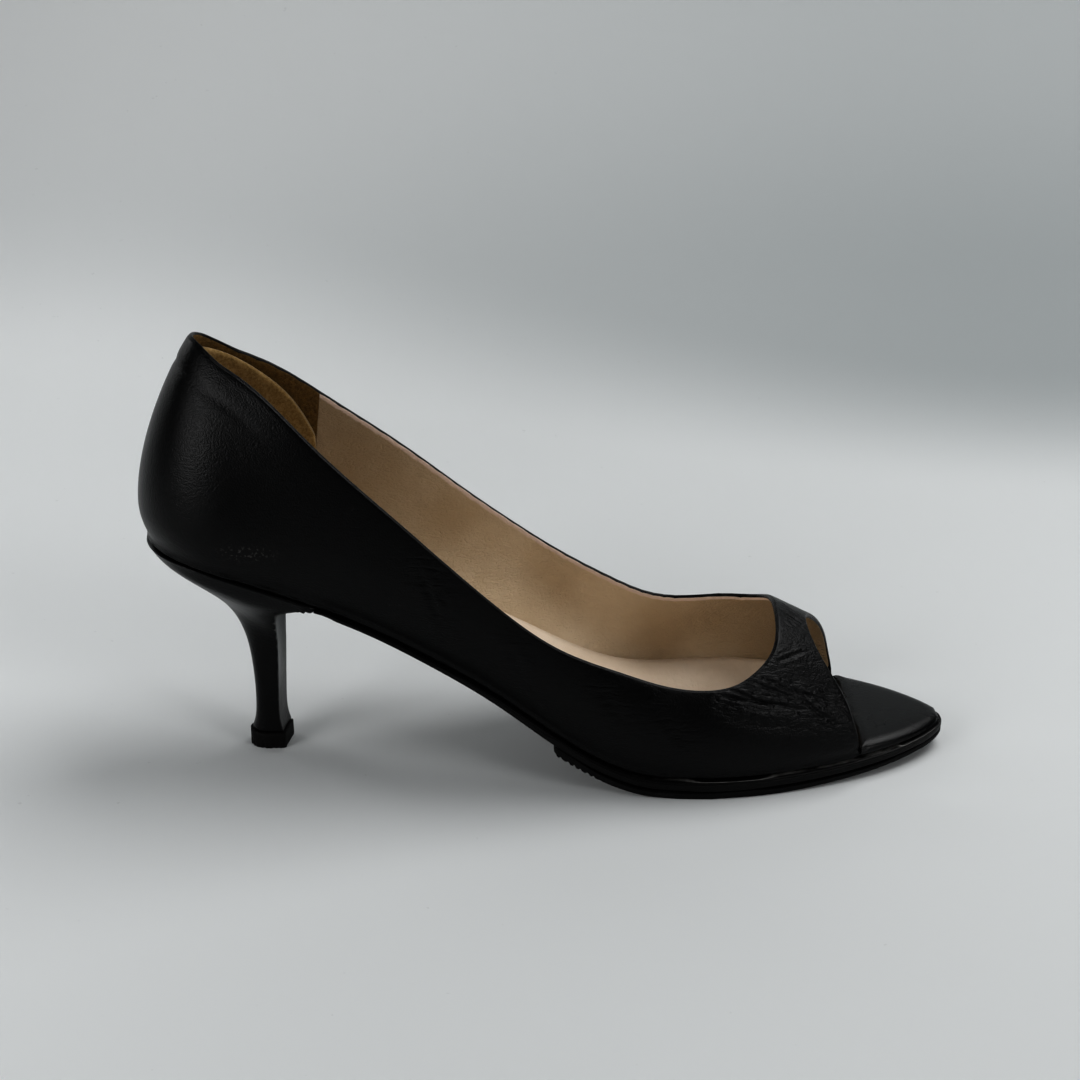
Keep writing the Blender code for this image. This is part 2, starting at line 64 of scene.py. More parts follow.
Point = tuple[float, float, float]
Colour = tuple[float, float, float]
Range = tuple[float, float]


class Side(Enum):
    """Which part of the upper's wall a face belongs to, as its material index."""

    OUTER = 0
    INNER = 1


class NodeGraph:
    """A node tree under construction, with short calls for what the finishes share."""

    def __init__(self, tree: NodeTree) -> None:
        """Keeps the tree that the nodes go into."""
        self.tree = tree

    def node(self, kind: str, inputs: dict | None = None, **settings: object) -> Node:
        """Adds a node and fills its inputs.

        Args:
            kind: the node's type, without its ShaderNode prefix.
            inputs: a value or an output socket for each named or numbered input.
            settings: the node's own properties.

        Returns:
            The new node.
        """
        made = self.tree.nodes.new("ShaderNode" + kind)
        for name, value in settings.items():
            setattr(made, name, value)
        for name, value in (inputs or {}).items():
            self.feed(made.inputs[name], value)
        return made

    def feed(self, socket: NodeSocket, value: object) -> None:
        """Links an output to a socket, or sets the socket's value.

        Args:
            socket: the input to feed.
            value: an output socket, a number, a colour or a vector.
        """
        if isinstance(value, NodeSocket):
            self.tree.links.new(value, socket)
        elif isinstance(value, tuple) and len(value) == 3 and socket.type == "RGBA":
            socket.default_value = (*value, 1.0)
        else:
            socket.default_value = value

    def math(self, operation: str, first: object, second: object = 0.5, clamp: bool = False) -> NodeSocket:
        """Returns the output of a Math node."""
        inputs = {0: first, 1: second}
        return self.node("Math", inputs, operation=operation, use_clamp=clamp).outputs[0]

    def times(self, first: object, second: object) -> NodeSocket:
        """Returns a product."""
        return self.math("MULTIPLY", first, second)

    def plus(self, first: object, second: object) -> NodeSocket:
        """Returns a sum."""
        return self.math("ADD", first, second)

    def minus(self, first: object, second: object) -> NodeSocket:
        """Returns a difference."""
        return self.math("SUBTRACT", first, second)

    def flipped(self, mask: object) -> NodeSocket:
        """Returns 1 where a mask is 0 and 0 where it is 1."""
        return self.minus(1.0, mask)

    def step(self, value: object, low: float, high: float) -> NodeSocket:
        """Returns 0 below low, 1 above high, and a smooth change between them."""
        inputs = {"Value": value, "From Min": low, "From Max": high}
        return self.node("MapRange", inputs, interpolation_type="SMOOTHSTEP").outputs[0]

    def band(self, value: object, centre: float, half_width: float) -> NodeSocket:
        """Returns 1 at the centre, falling smoothly to 0 at the half width on both sides."""
        return self.flipped(self.step(self.math("ABSOLUTE", self.minus(value, centre)), 0.0, half_width))

    def mix(self, mask: object, low: object, high: object) -> NodeSocket:
        """Mixes two colours.

        Args:
            mask: 0 for the low colour and 1 for the high one.
            low: the first colour or its output.
            high: the second colour or its output.

        Returns:
            The colour between them.
        """
        made = self.node("Mix", data_type="RGBA")
        for name, value in (("Factor", mask), ("A", low), ("B", high)):
            self.feed(made.inputs[name], value)
        return made.outputs["Result"]

    def axis(self, vector: object, name: str) -> NodeSocket:
        """Returns one coordinate of a vector."""
        return self.node("SeparateXYZ", {0: vector}).outputs[name]


class SharedEffects:
    """The node groups that several finishes use. Each is built once."""

    def __init__(self) -> None:
        """Builds every group."""
        self.grain = self._grain()
        self.wrinkles = self._wrinkles()
        self.patches = self._patches()

    @staticmethod
    def _group(
        name: str, output: str, inputs: dict[str, float]
    ) -> tuple[NodeGraph, bpy_prop_collection, NodeSocket]:
        """Makes an empty group with a vector input, float inputs and one float output.

        Args:
            name: the group's name.
            output: the name of the output.
            inputs: the default of each float input.

        Returns:
            The graph of the group, what its input node gives and the socket of its result.
        """
        tree = bpy.data.node_groups.new(name, "ShaderNodeTree")
        tree.interface.new_socket("Vector", in_out="INPUT", socket_type="NodeSocketVector")
        for label, value in inputs.items():
            socket = tree.interface.new_socket(label, in_out="INPUT", socket_type="NodeSocketFloat")
            socket.default_value = value
        tree.interface.new_socket(output, in_out="OUTPUT", socket_type="NodeSocketFloat")
        given = tree.nodes.new("NodeGroupInput").outputs
        return NodeGraph(tree), given, tree.nodes.new("NodeGroupOutput").inputs[output]

    def _grain(self) -> NodeTree:
        """Builds the fine pebbled grain of full leather: small soft cells with creases between them.

        Returns:
            The group.
        """
        graph, given, out = self._group("leather_grain", "Height", {"Scale": 1500.0})
        vector, scale = given["Vector"], given["Scale"]
        inputs = {"Vector": vector, "Detail": 2.0, "Scale": graph.times(scale, 0.35)}
        wander = graph.node("TexNoise", inputs).outputs["Color"]
        inputs = {0: wander, "Scale": graph.math("DIVIDE", 1.05, scale)}
        push = graph.node("VectorMath", inputs, operation="SCALE").outputs[0]
        moved = graph.node("VectorMath", {0: vector, 1: push}, operation="ADD").outputs[0]
        cells = graph.node("TexVoronoi", {"Vector": moved, "Scale": scale}, feature="F1")
        inputs = {"Vector": vector, "Detail": 4.0, "Scale": graph.times(scale, 1.7)}
        fine = graph.node("TexNoise", inputs).outputs["Fac"]
        graph.feed(out, graph.plus(graph.flipped(cells.outputs["Distance"]), graph.times(fine, 0.6)))
        return graph.tree

    def _wrinkles(self) -> NodeTree:
        """Builds the fine branching wrinkles: the lines where a stretched noise crosses its middle value.

        Returns:
            The group.
        """
        graph, given, out = self._group("leather_wrinkles", "Height", {"Scale": 400.0, "Width": 0.06})
        height = 0.0
        for octave, weight in ((1.0, 0.65), (2.3, 0.35)):
            inputs = {"Vector": given["Vector"], "Detail": 1.5, "Scale": graph.times(given["Scale"], octave)}
            noise = graph.node("TexNoise", inputs).outputs["Fac"]
            away = graph.math("ABSOLUTE", graph.minus(noise, 0.5))
            share = graph.math("DIVIDE", away, given["Width"], clamp=True)
            height = graph.plus(graph.times(graph.math("POWER", share, 0.7), weight), height)
        graph.feed(out, height)
        return graph.tree

    def _patches(self) -> NodeTree:
        """Builds the irregular patches of scuffs, smudges and chips: Amount is about the share they cover.

        Returns:
            The group.
        """
        defaults = {"Scale": 60.0, "Amount": 0.2, "Edge": 0.08}
        graph, given, out = self._group("worn_patches", "Mask", defaults)
        inputs = {"Vector": given["Vector"], "Scale": given["Scale"], "Detail": 6.0, "Roughness": 0.62}
        noise = graph.node("TexNoise", inputs).outputs["Fac"]
        inside = graph.minus(noise, graph.minus(0.72, graph.times(given["Amount"], 0.45)))
        graph.feed(out, graph.math("DIVIDE", inside, given["Edge"], clamp=True))
        return graph.tree


class Skin(NodeGraph):
    """A new material: its graph, its Principled BSDF, its object coordinates and the shared effects."""

    def __init__(self, name: str, effects: SharedEffects | None = None) -> None:
        """Makes the material.

        Args:
            name: the material's name.
            effects: the shared node groups, where the finish uses any.
        """
        self.material = bpy.data.materials.new(name)
        self.material.use_nodes = True
        super().__init__(self.material.node_tree)
        self.shader = self.tree.nodes["Principled BSDF"].inputs
        self.effects = effects
        self.where = self.node("TexCoord").outputs["Object"]

    def place(self, group: NodeTree, **inputs: object) -> NodeSocket:
        """Adds a shared group to the material.

        Args:
            group: the node group.
            inputs: a value or an output for each of its named inputs, and for Vector where it has its own.

        Returns:
            The group's output.
        """
        made = self.node("Group", node_tree=group)
        for name, value in {"Vector": self.where, **inputs}.items():
            self.feed(made.inputs[name], value)
        return made.outputs[0]

    def grain(self, scale: float) -> NodeSocket:
        """Returns the height of the leather grain."""
        return self.place(self.effects.grain, Scale=scale)

    def wrinkles(self, drawn: object, scale: float, width: float) -> NodeSocket:
        """Returns the height of the fine wrinkles along drawn coordinates."""
        return self.place(self.effects.wrinkles, Vector=drawn, Scale=scale, Width=width)

    def patches(self, scale: float, amount: float, edge: float) -> NodeSocket:
        """Returns the mask of irregular patches."""
        return self.place(self.effects.patches, Scale=scale, Amount=amount, Edge=edge)

    def at(self, axis: str) -> NodeSocket:
        """Returns one of the object coordinates."""
        return self.axis(self.where, axis)

    def noise(
        self, scale: float, detail: float = 3.0, rough: float = 0.5, drawn: NodeSocket | None = None
    ) -> NodeSocket:
        """Adds a Noise texture.

        Args:
            scale: how fine it is, as its Scale.
            detail: how many finer octaves it has.
            rough: how strong the finer octaves are.
            drawn: other coordinates than the object's own.

        Returns:
            The value of the texture.
        """
        vector = self.where if drawn is None else drawn
        inputs = {"Vector": vector, "Scale": scale, "Detail": detail, "Roughness": rough}
        return self.node("TexNoise", inputs).outputs["Fac"]

    def drawn(self, scale: Point, turn: Point = (0, 0, 0)) -> NodeSocket:
        """Returns the object coordinates turned and stretched by a Mapping node."""
        angles = tuple(math.radians(angle) for angle in turn)
        return self.node("Mapping", {"Vector": self.where, "Scale": scale, "Rotation": angles}).outputs[0]

    def attribute(self, name: str) -> NodeSocket:
        """Returns the value of a float attribute of the mesh."""
        return self.node("Attribute", attribute_name=name).outputs["Fac"]

    def wire(self, colour: object, rough: object, layers: list[tuple[object, float]], shine: float) -> None:
        """Feeds the shader.

        Args:
            colour: the base colour.
            rough: the roughness.
            layers: a height output and its depth in metres for each bump, one over the other.
            shine: the specular level.
        """
        self.feed(self.shader["Base Color"], colour)
        self.feed(self.shader["Roughness"], rough)
        self.shader["Specular IOR Level"].default_value = shine
        below = {}
        for height, depth in layers:
            made = self.node("Bump", {"Height": height, "Distance": depth, "Strength": 1.0, **below})
            below = {"Normal": made.outputs["Normal"]}
        if below:
            self.feed(self.shader["Normal"], below["Normal"])


class Finish:
    """What every finish shares: it paints its look on a new material."""

    def build(self, name: str, effects: SharedEffects) -> Material:
        """Makes the material.

        Args:
            name: the material's name.
            effects: the shared node groups.

        Returns:
            The new material.
        """
        skin = Skin(name, effects)
        self.paint(skin)
        return skin.material

    def paint(self, skin: Skin) -> None:
        """Wires the look, which each kind of finish does in its own way.

        Args:
            skin: the new material.
        """
        raise NotImplementedError


def paler(colour: Colour, factor: float) -> Colour:
    """Returns a colour made lighter by a factor."""
    return tuple(value * factor for value in colour)


@dataclass(frozen=True)
class Nappa(Finish):
    """Smooth black leather with a fine grain, finer wrinkles where it flexes, and light scuffs."""

    colour: Colour = (0.0022, 0.0022, 0.0023)
    scuffed: Colour = (0.055, 0.052, 0.05)
    roughness: float = 0.31
    grain_size: float = 0.00044
    grain_depth: float = 0.000065
    wrinkle_size: float = 0.0036
    wrinkle_depth: float = 0.00022
    shine: float = 0.22
    scuff_amount: float = 0.06
    folded_edge: bool = False
    scraped_x: Range = (-0.0845, 0.012)
    scraped_z: Range = (0.0732, 0.004)

    def paint(self, skin: Skin) -> None:
        """Wires grain, wrinkles and scuffs, and on the upper its folded edge and the scrape by the heel.

        Args:
            skin: the new material.
        """
        lines = skin.wrinkles(skin.drawn((0.3, 1.0, 1.15), (0, 14, 0)), 1 / self.wrinkle_size, 0.09)
        calm = skin.plus(0.12, skin.times(skin.attribute("flex"), 1.2))
        grit = skin.step(skin.noise(2600.0, 2.0), 0.42, 0.6)
        scuff = skin.times(skin.patches(90.0, self.scuff_amount, 0.05), grit)
        cloudy = skin.times(skin.minus(skin.noise(45.0, 4.0), 0.5), 0.16)
        rough = skin.plus(skin.plus(cloudy, self.roughness), skin.times(scuff, 0.3))
        layers = [
            (skin.grain(1 / self.grain_size), self.grain_depth),
            (skin.times(lines, calm), self.wrinkle_depth),
        ]
        if self.folded_edge:
            fold = skin.band(skin.attribute("rim"), 1.15 * MM, 0.3 * MM)
            layers.append((skin.flipped(fold), 0.12 * MM))
            along = skin.band(skin.at("X"), *self.scraped_x)
            spot = skin.times(along, skin.band(skin.at("Z"), *self.scraped_z))
            scraped = skin.times(spot, skin.step(skin.noise(1300.0, 3.0), 0.56, 0.64))
            scuff = skin.math("MAXIMUM", scuff, scraped)
        tone = skin.mix(skin.step(skin.noise(26.0), 0.35, 0.7), self.colour, paler(self.colour, 1.35))
        skin.wire(skin.mix(scuff, tone, self.scuffed), rough, layers, self.shine)


@dataclass(frozen=True)
class ShoeLining(Finish):
    """Tan lining leather, with a dark suede counter lining behind a slanted cut and a pale trimmed edge."""

    colour: Colour = (0.72, 0.58, 0.41)
    shaded: Colour = (0.60, 0.46, 0.30)
    smudged: Colour = (0.26, 0.17, 0.10)
    # Colour of the painted shade toward both ends of the lining.
    end_shade_colour: Colour = (0.22, 0.15, 0.08)
    trimmed: Colour = (0.80, 0.64, 0.54)
    suede: Colour = (0.11, 0.065, 0.02)
    cut_x: float = -0.0686
    cut_z: float = 0.1034
    cut_slant: float = 0.13
    cut_blur: float = 0.00015
    trim: Range = (0.00105, 0.00155)
    trim_end: Range = (0.066, 0.078)

    def paint(self, skin: Skin) -> None:
        """Wires the lining, with painted shade darkening it toward both ends, its trimmed edge and the suede
        behind the cut.

        Args:
            skin: the new material.
        """
        along = skin.at("X")
        leaning = skin.times(skin.minus(skin.at("Z"), self.cut_z), self.cut_slant)
        ahead = skin.minus(skin.minus(along, self.cut_x), leaning)
        front = skin.step(ahead, -self.cut_blur, self.cut_blur)
        tone = skin.mix(skin.step(skin.noise(40.0, 4.0), 0.35, 0.7), self.shaded, self.colour)
        tone = skin.mix(skin.times(skin.patches(55.0, 0.18, 0.16), 0.35), tone, self.smudged)
        # Painted shade: the lining is darkened toward the toe and toward the back, where the inside of the
        # shoe lies in shade.
        shade_toward_toe = skin.times(skin.step(along, 0.035, 0.085), 1.5)
        ends = skin.plus(shade_toward_toe, skin.step(along, -0.01, -0.07))
        tone = skin.mix(skin.times(ends, 0.55), tone, self.end_shade_colour)
        edge = skin.flipped(skin.step(skin.attribute("rim"), *self.trim))
        edge = skin.times(edge, skin.flipped(skin.step(along, *self.trim_end)))
        tone = skin.mix(edge, tone, self.trimmed)
        nap = skin.noise(900.0, 5.0, 0.7)
        brushed = skin.mix(skin.step(nap, 0.3, 0.7), self.suede, paler(self.suede, 1.9))
        layers = [
            (front, 0.35 * MM),
            (skin.wrinkles(skin.drawn((1.0, 1.0, 2.4), (0, -28, 0)), 420.0, 0.12), 0.22 * MM),
            (skin.grain(1800.0), 0.04 * MM),
            (skin.times(nap, skin.flipped(front)), 0.25 * MM),
        ]
        rough = skin.minus(0.92, skin.times(front, 0.42))
        skin.wire(skin.mix(front, brushed, tone), rough, layers, 0.5)


@dataclass(frozen=True)
class Suede(Finish):
    """Napped suede, brushed in patches."""

    colour: Colour = (0.20, 0.125, 0.045)
    brushed: Colour = (0.47, 0.33, 0.155)
    nap_depth: float = 0.0002

    def paint(self, skin: Skin) -> None:
        """Wires the nap, its brushed patches and its sheen.

        Args:
            skin: the new material.
        """
        nap = skin.noise(1100.0, 6.0, 0.75)
        drift = skin.noise(160.0, 4.0, 0.6)
        light = skin.times(skin.step(nap, 0.3, 0.72), 0.6)
        light = skin.plus(light, skin.times(skin.patches(220.0, 0.5, 0.25), 0.4))
        tone = skin.mix(light, self.colour, self.brushed)
        rough = skin.plus(0.8, skin.times(drift, 0.2))
        skin.wire(tone, rough, [(nap, self.nap_depth), (drift, 2 * self.nap_depth)], 0.15)
        skin.shader["Sheen Weight"].default_value = 0.5
        skin.shader["Sheen Roughness"].default_value = 0.4


@dataclass(frozen=True)
class SockLeather(Finish):
    """Thin pinkish-beige sock leather, rubbed and smudged where the foot stands."""

    colour: Colour = (0.82, 0.70, 0.57)
    rubbed: Colour = (0.72, 0.60, 0.47)
    soiled: Colour = (0.42, 0.31, 0.23)

    def paint(self, skin: Skin) -> None:
        """Wires the clouded tone, its smudges and spots, and the grain.

        Args:
            skin: the new material.
        """
        cloud = skin.noise(34.0, 5.0, 0.6)
        tone = skin.mix(skin.step(cloud, 0.35, 0.68), self.colour, self.rubbed)
        for scale, amount, edge, strength in ((48.0, 0.22, 0.2, 0.4), (320.0, 0.02, 0.05, 0.5)):
            tone = skin.mix(skin.times(skin.patches(scale, amount, edge), strength), tone, self.soiled)
        lines = skin.wrinkles(skin.drawn((2.0, 1.0, 1.0)), 160.0, 0.1)
        rough = skin.plus(0.46, skin.times(cloud, 0.18))
        skin.wire(tone, rough, [(skin.grain(1700.0), 0.05 * MM), (lines, 0.14 * MM)], 0.5)


@dataclass(frozen=True)
class SoleEdge(Finish):
    """Black dressed sole leather: a turned groove and a pale line painted along its edge as a highlight."""

    colour: Colour = (0.0045, 0.0043, 0.0043)
    # Pale grey of the painted highlight line along the edge.
    rubbed: Colour = (0.25, 0.245, 0.235)
    line: Range = (0.93, 0.035)
    groove: Range = (0.74, 0.09)
    highlight_from: Range = (0.015, 0.05)

    def paint(self, skin: Skin) -> None:
        """Wires the painted highlight line, which shows at the forepart only and is broken into patches, and
        the groove below it.

        Args:
            skin: the new material.
        """
        ragged = skin.times(skin.minus(skin.noise(420.0), 0.5), 0.008)
        height = skin.plus(skin.attribute("tier"), ragged)
        # Painted highlight: a pale line near the top of the edge, at the forepart, broken into patches.
        line = skin.band(height, *self.line)
        fore = skin.step(skin.at("X"), *self.highlight_from)
        highlight_patches = skin.times(line, skin.times(skin.patches(110.0, 0.8, 0.3), fore))
        rough = skin.plus(0.34, skin.times(skin.noise(200.0), 0.25))
        groove = skin.flipped(skin.band(height, *self.groove))
        fibre = skin.noise(1400.0, 4.0, drawn=skin.drawn((0.3, 0.3, 3.0)))
        layers = [(groove, 0.30 * MM), (line, 0.05 * MM), (fibre, 0.05 * MM)]
        skin.wire(skin.mix(highlight_patches, self.colour, self.rubbed), rough, layers, 0.2)


@dataclass(frozen=True)
class WornRubber(Finish):
    """Black rubber with a fine cast tread underneath, greyed by dust and wear."""

    colour: Colour = (0.005, 0.005, 0.0052)
    dusty: Colour = (0.11, 0.105, 0.10)
    dust: float = 0.35
    rib_pitch: float = 0.0016

    def paint(self, skin: Skin) -> None:
        """Wires the dust, which lies thicker underneath, and the tread's slanted ribs.

        Args:
            skin: the new material.
        """
        speck = skin.noise(1500.0, 4.0, 0.7)
        mask = skin.times(skin.patches(70.0, self.dust, 0.3), skin.step(speck, 0.35, 0.65))
        under = skin.flipped(skin.step(skin.attribute("tier"), 0.02, 0.12))
        mask = skin.times(mask, skin.plus(0.35, skin.times(under, 0.65)))
        diagonal = skin.plus(skin.at("X"), skin.times(skin.at("Y"), 0.6))
        wave = skin.math("SINE", skin.times(diagonal, 2 * math.pi / self.rib_pitch))
        layers = [(skin.times(skin.step(wave, -0.4, 0.4), under), 0.25 * MM), (speck, 0.05 * MM)]
        rough = skin.plus(0.5, skin.times(speck, 0.3))
        skin.wire(skin.mix(mask, self.colour, self.dusty), rough, layers, 0.2)


@dataclass(frozen=True)
class HeelCover(Finish):
    """Black heel leather with its breast painted paler as a reflection and a highlight, rubbed through to
    pale fibre along the breast edges, with a few nicks.
    """

    colour: Colour = (0.0035, 0.0035, 0.0037)
    # Painted reflection on the breast, and the painted highlight toward its top.
    breast_reflection_colour: Colour = (0.05, 0.05, 0.05)
    breast_highlight_colour: Colour = (0.26, 0.27, 0.27)
    highlight_rise: Range = (0.012, 0.044)
    fibre: Colour = (0.16, 0.15, 0.14)
    roughness: float = 0.25
    grain_size: float = 0.0007

    def paint(self, skin: Skin) -> None:
        """Wires the breast, painted paler as a reflection of the light and paler still toward its top as a
        painted highlight, the rubbed edges and the nicks.

        Args:
            skin: the new material.
        """
        front = skin.attribute("breast")
        ragged = skin.times(skin.minus(skin.noise(700.0, 5.0, 0.7), 0.5), 0.5)
        edge = skin.band(skin.plus(front, ragged), 0.45, 0.4)
        chips = skin.times(edge, skin.patches(520.0, 0.4, 0.12))
        bare = skin.math("MAXIMUM", chips, skin.times(skin.patches(240.0, 0.03, 0.05), 0.5))
        # Painted reflection and highlight: the breast is painted grey, growing paler toward its top, for the
        # light that it catches.
        highlight_climb = skin.step(skin.at("Z"), *self.highlight_rise)
        tone = skin.mix(front, self.colour, skin.mix(highlight_climb, self.breast_reflection_colour, self.breast_highlight_colour))
        rough = skin.plus(skin.times(skin.noise(60.0, 4.0), 0.16), self.roughness)
        rough = skin.plus(rough, skin.times(bare, 0.4))
        layers = [
            (skin.noise(130.0, 3.0), 0.20 * MM),
            (skin.grain(1 / self.grain_size), 0.05 * MM),
            (skin.flipped(bare), 0.15 * MM),
        ]
        skin.wire(skin.mix(bare, tone, self.fibre), rough, layers, 0.24)


def ease(values: np.ndarray, low: float, high: float) -> np.ndarray:
    """Returns 0 below low, 1 above high and a smooth change between them."""
    share = np.clip((values - low) / (high - low), 0, 1)
    return share * share * (3 - 2 * share)


def bell(values: np.ndarray, centre: float, width: float) -> np.ndarray:
    """Returns 1 at the centre, falling off on both sides as a bell curve of a width."""
    return np.exp(-(((values - centre) / width) ** 2))


@dataclass(frozen=True)
class Crease:
    """A fold of the leather: a soft trough with a low ridge along each side.

    Attributes:
        depth: depth of the trough in millimetres; a negative one is a raised fold.
        width: half width of the trough in millimetres.
        path: points of the fold in millimetres of the frame.
    """

    depth: float
    width: float
    path: tuple[Point, ...]

    def mirrored(self, shift: float) -> "Crease":
        """Returns the same fold on the inner side of the foot, moved along the shoe."""
        return Crease(self.depth, self.width, tuple((x + shift, -y, z) for x, y, z in self.path))

    def distances(self, points: np.ndarray) -> tuple[np.ndarray, np.ndarray]:
        """Finds how far points are from the fold.

        Args:
            points: positions in millimetres.

        Returns:
            The distance of each point, and its share of the way along the fold.
        """
        best = np.full(len(points), np.inf)
        along = np.zeros(len(points))
        knots = np.array(self.path)
        for index, (start, end) in enumerate(zip(knots, knots[1:])):
            run = end - start
            share = np.clip((points - start) @ run / (run @ run), 0, 1)
            away = np.linalg.norm(points - start - share[:, None] * run, axis=1)
            nearer = away < best
            best[nearer] = away[nearer]
            along[nearer] = (index + share[nearer]) / (len(knots) - 1)
        return best, along

    def offsets(self, points: np.ndarray) -> np.ndarray:
        """Finds how far each point moves out along its normal.

        Args:
            points: positions in millimetres.

        Returns:
            The distances in millimetres.
        """
        away, along = self.distances(points)
        fade = np.sqrt(np.clip(np.sin(np.pi * np.clip(along, 0.02, 0.98)), 0, 1))
        ridge = bell(away, RIDGE_PLACE * self.width, self.width)
        return self.depth * fade * (RIDGE_HEIGHT * ridge - bell(away, 0, self.width))


def copy_of(node: str, name: str, sharp: float, levels: int = 0) -> Object:
    """Copies a CAD node's mesh, with its loose triangles merged and paired into quads.

    Args:
        node: the CAD node.
        name: the new object's name.
        sharp: edges that turn by more degrees than this stay crisp when the mesh is subdivided.
        levels: how many times each face is split.

    Returns:
        The new object, which stands for the node.
    """
    bm = bmesh.new()
    bm.from_mesh(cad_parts[node].data)
    bmesh.ops.remove_doubles(bm, verts=bm.verts, dist=MERGE_DISTANCE)
    bmesh.ops.join_triangles(
        bm, faces=bm.faces, angle_face_threshold=QUAD_TURN, angle_shape_threshold=QUAD_SKEW
    )
    crease = bm.edges.layers.float.new("crease_edge")
    for edge in bm.edges:
        if len(edge.link_faces) == 2 and edge.calc_face_angle() > math.radians(sharp):
            edge[crease] = CRISPNESS
    mesh = bpy.data.meshes.new(name)
    bm.to_mesh(mesh)
    bm.free()
    mesh.materials.clear()
    made = bpy.data.objects.new(name, mesh)
    bpy.context.scene.collection.objects.link(made)
    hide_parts(node)
    if levels:
        subdivide(made, levels)
    return made


def subdivide(made: Object, levels: int) -> None:
    """Subdivides an object's mesh for good and shades it smooth.

    Args:
        made: the object.
        levels: how many times each face is split.
    """
    modifier = made.modifiers.new("Smooth", "SUBSURF")
    modifier.levels = modifier.render_levels = levels
    bpy.context.view_layer.update()
    graph = bpy.context.evaluated_depsgraph_get()
    mesh = bpy.data.meshes.new_from_object(made.evaluated_get(graph))
    made.modifiers.clear()
    made.data = mesh
    mesh.name = made.name
    mesh.shade_smooth()


def positions(mesh: Mesh) -> np.ndarray:
    """Reads the vertices' positions.

    Args:
        mesh: the mesh.

    Returns:
        A row for each vertex, in millimetres.
    """
    flat = np.empty(len(mesh.vertices) * 3)
    mesh.vertices.foreach_get("co", flat)
    return flat.reshape(-1, 3) / MM


def normals(mesh: Mesh) -> np.ndarray:
    """Reads the vertices' normals.

    Args:
        mesh: the mesh.

    Returns:
        A row for each vertex.
    """
    flat = np.empty(len(mesh.vertices) * 3)
    mesh.vertex_normals.foreach_get("vector", flat)
    return flat.reshape(-1, 3)


def move_to(mesh: Mesh, points: np.ndarray) -> None:
    """Moves a mesh's vertices to new positions in millimetres."""
    mesh.vertices.foreach_set("co", (points * MM).ravel())
    mesh.update()


def store(mesh: Mesh, name: str, values: np.ndarray) -> None:
    """Keeps one float for each vertex as an attribute that a finish reads."""
    layer = mesh.attributes.new(name, "FLOAT", "POINT")
    layer.data.foreach_set("value", values.astype(np.float32))


def nearest(points: np.ndarray, others: np.ndarray) -> np.ndarray:
    """Finds how far each point is from the nearest of the others.

    Args:
        points: the points.
        others: the points that they are measured to.

    Returns:
        The distance of each point.
    """
    tree = KDTree(len(others))
    for index, other in enumerate(others):
        tree.insert(Vector(other), index)
    tree.balance()
    return np.array([tree.find(Vector(point))[2] for point in points])


def levels_along(points: np.ndarray, bins: int = 60) -> tuple[np.ndarray, np.ndarray]:
    """Finds how low and how high a piece is in each slice along the shoe.

    Args:
        points: the vertices' positions in millimetres.
        bins: how many slices are taken.

    Returns:
        The lowest and the highest level of the piece at each vertex's place along the shoe.
    """
    along = points[:, 0]
    ends = np.linspace(along.min(), along.max() + 1e-6, bins + 1)
    which = np.digitize(along, ends) - 1
    rows = [(ends[i : i + 2].mean(), points[which == i, 2]) for i in range(bins) if (which == i).any()]
    middles = [middle for middle, _ in rows]
    low = np.interp(along, middles, [heights.min() for _, heights in rows])
    return low, np.interp(along, middles, [heights.max() for _, heights in rows])


@dataclass(frozen=True)
class Roll:
    """A roll of the leather along the topline, or a dip where its height is below zero.

    Attributes:
        height: its height in millimetres.
        below: how far it lies below the topline in millimetres.
        width: its half width in millimetres.
    """

    height: float
    below: float
    width: float

    def rises(self, rim: np.ndarray) -> np.ndarray:
        """Returns how far it stands out at each distance from the topline."""
        return self.height * bell(rim, self.below, self.width)


@dataclass(frozen=True)
class Hollow:
    """A shallow hollow that the foot has pressed into the insole.

    Attributes:
        along: the place of its middle along the shoe in millimetres.
        depth: its depth in millimetres.
        length: its half length in millimetres.
        width: its half width in millimetres.
    """

    along: float
    depth: float
    length: float
    width: float

    def depths(self, points: np.ndarray) -> np.ndarray:
        """Returns how deep it is at each point."""
        lengthways = self.depth * bell(points[:, 0], self.along, self.length)
        return lengthways * bell(points[:, 1], 0, self.width)


@dataclass
class Dresser:
    """What every sub-assembly needs to finish a piece."""

    effects: SharedEffects

    def finish(self, made: Object, slot: str, **looks: Finish) -> Object:
        """Gives a piece its materials and its body, and logs it.

        Args:
            made: the piece.
            slot: the record's material slot; it is not used.
            looks: the finish of each material index that its faces use, under the material's name.

        Returns:
            The piece.
        """
        for name, look in looks.items():
            made.data.materials.append(look.build(name, self.effects))
        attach(made, BODY)
        log.info("%s: %d faces", made.name, len(made.data.polygons))
        return made


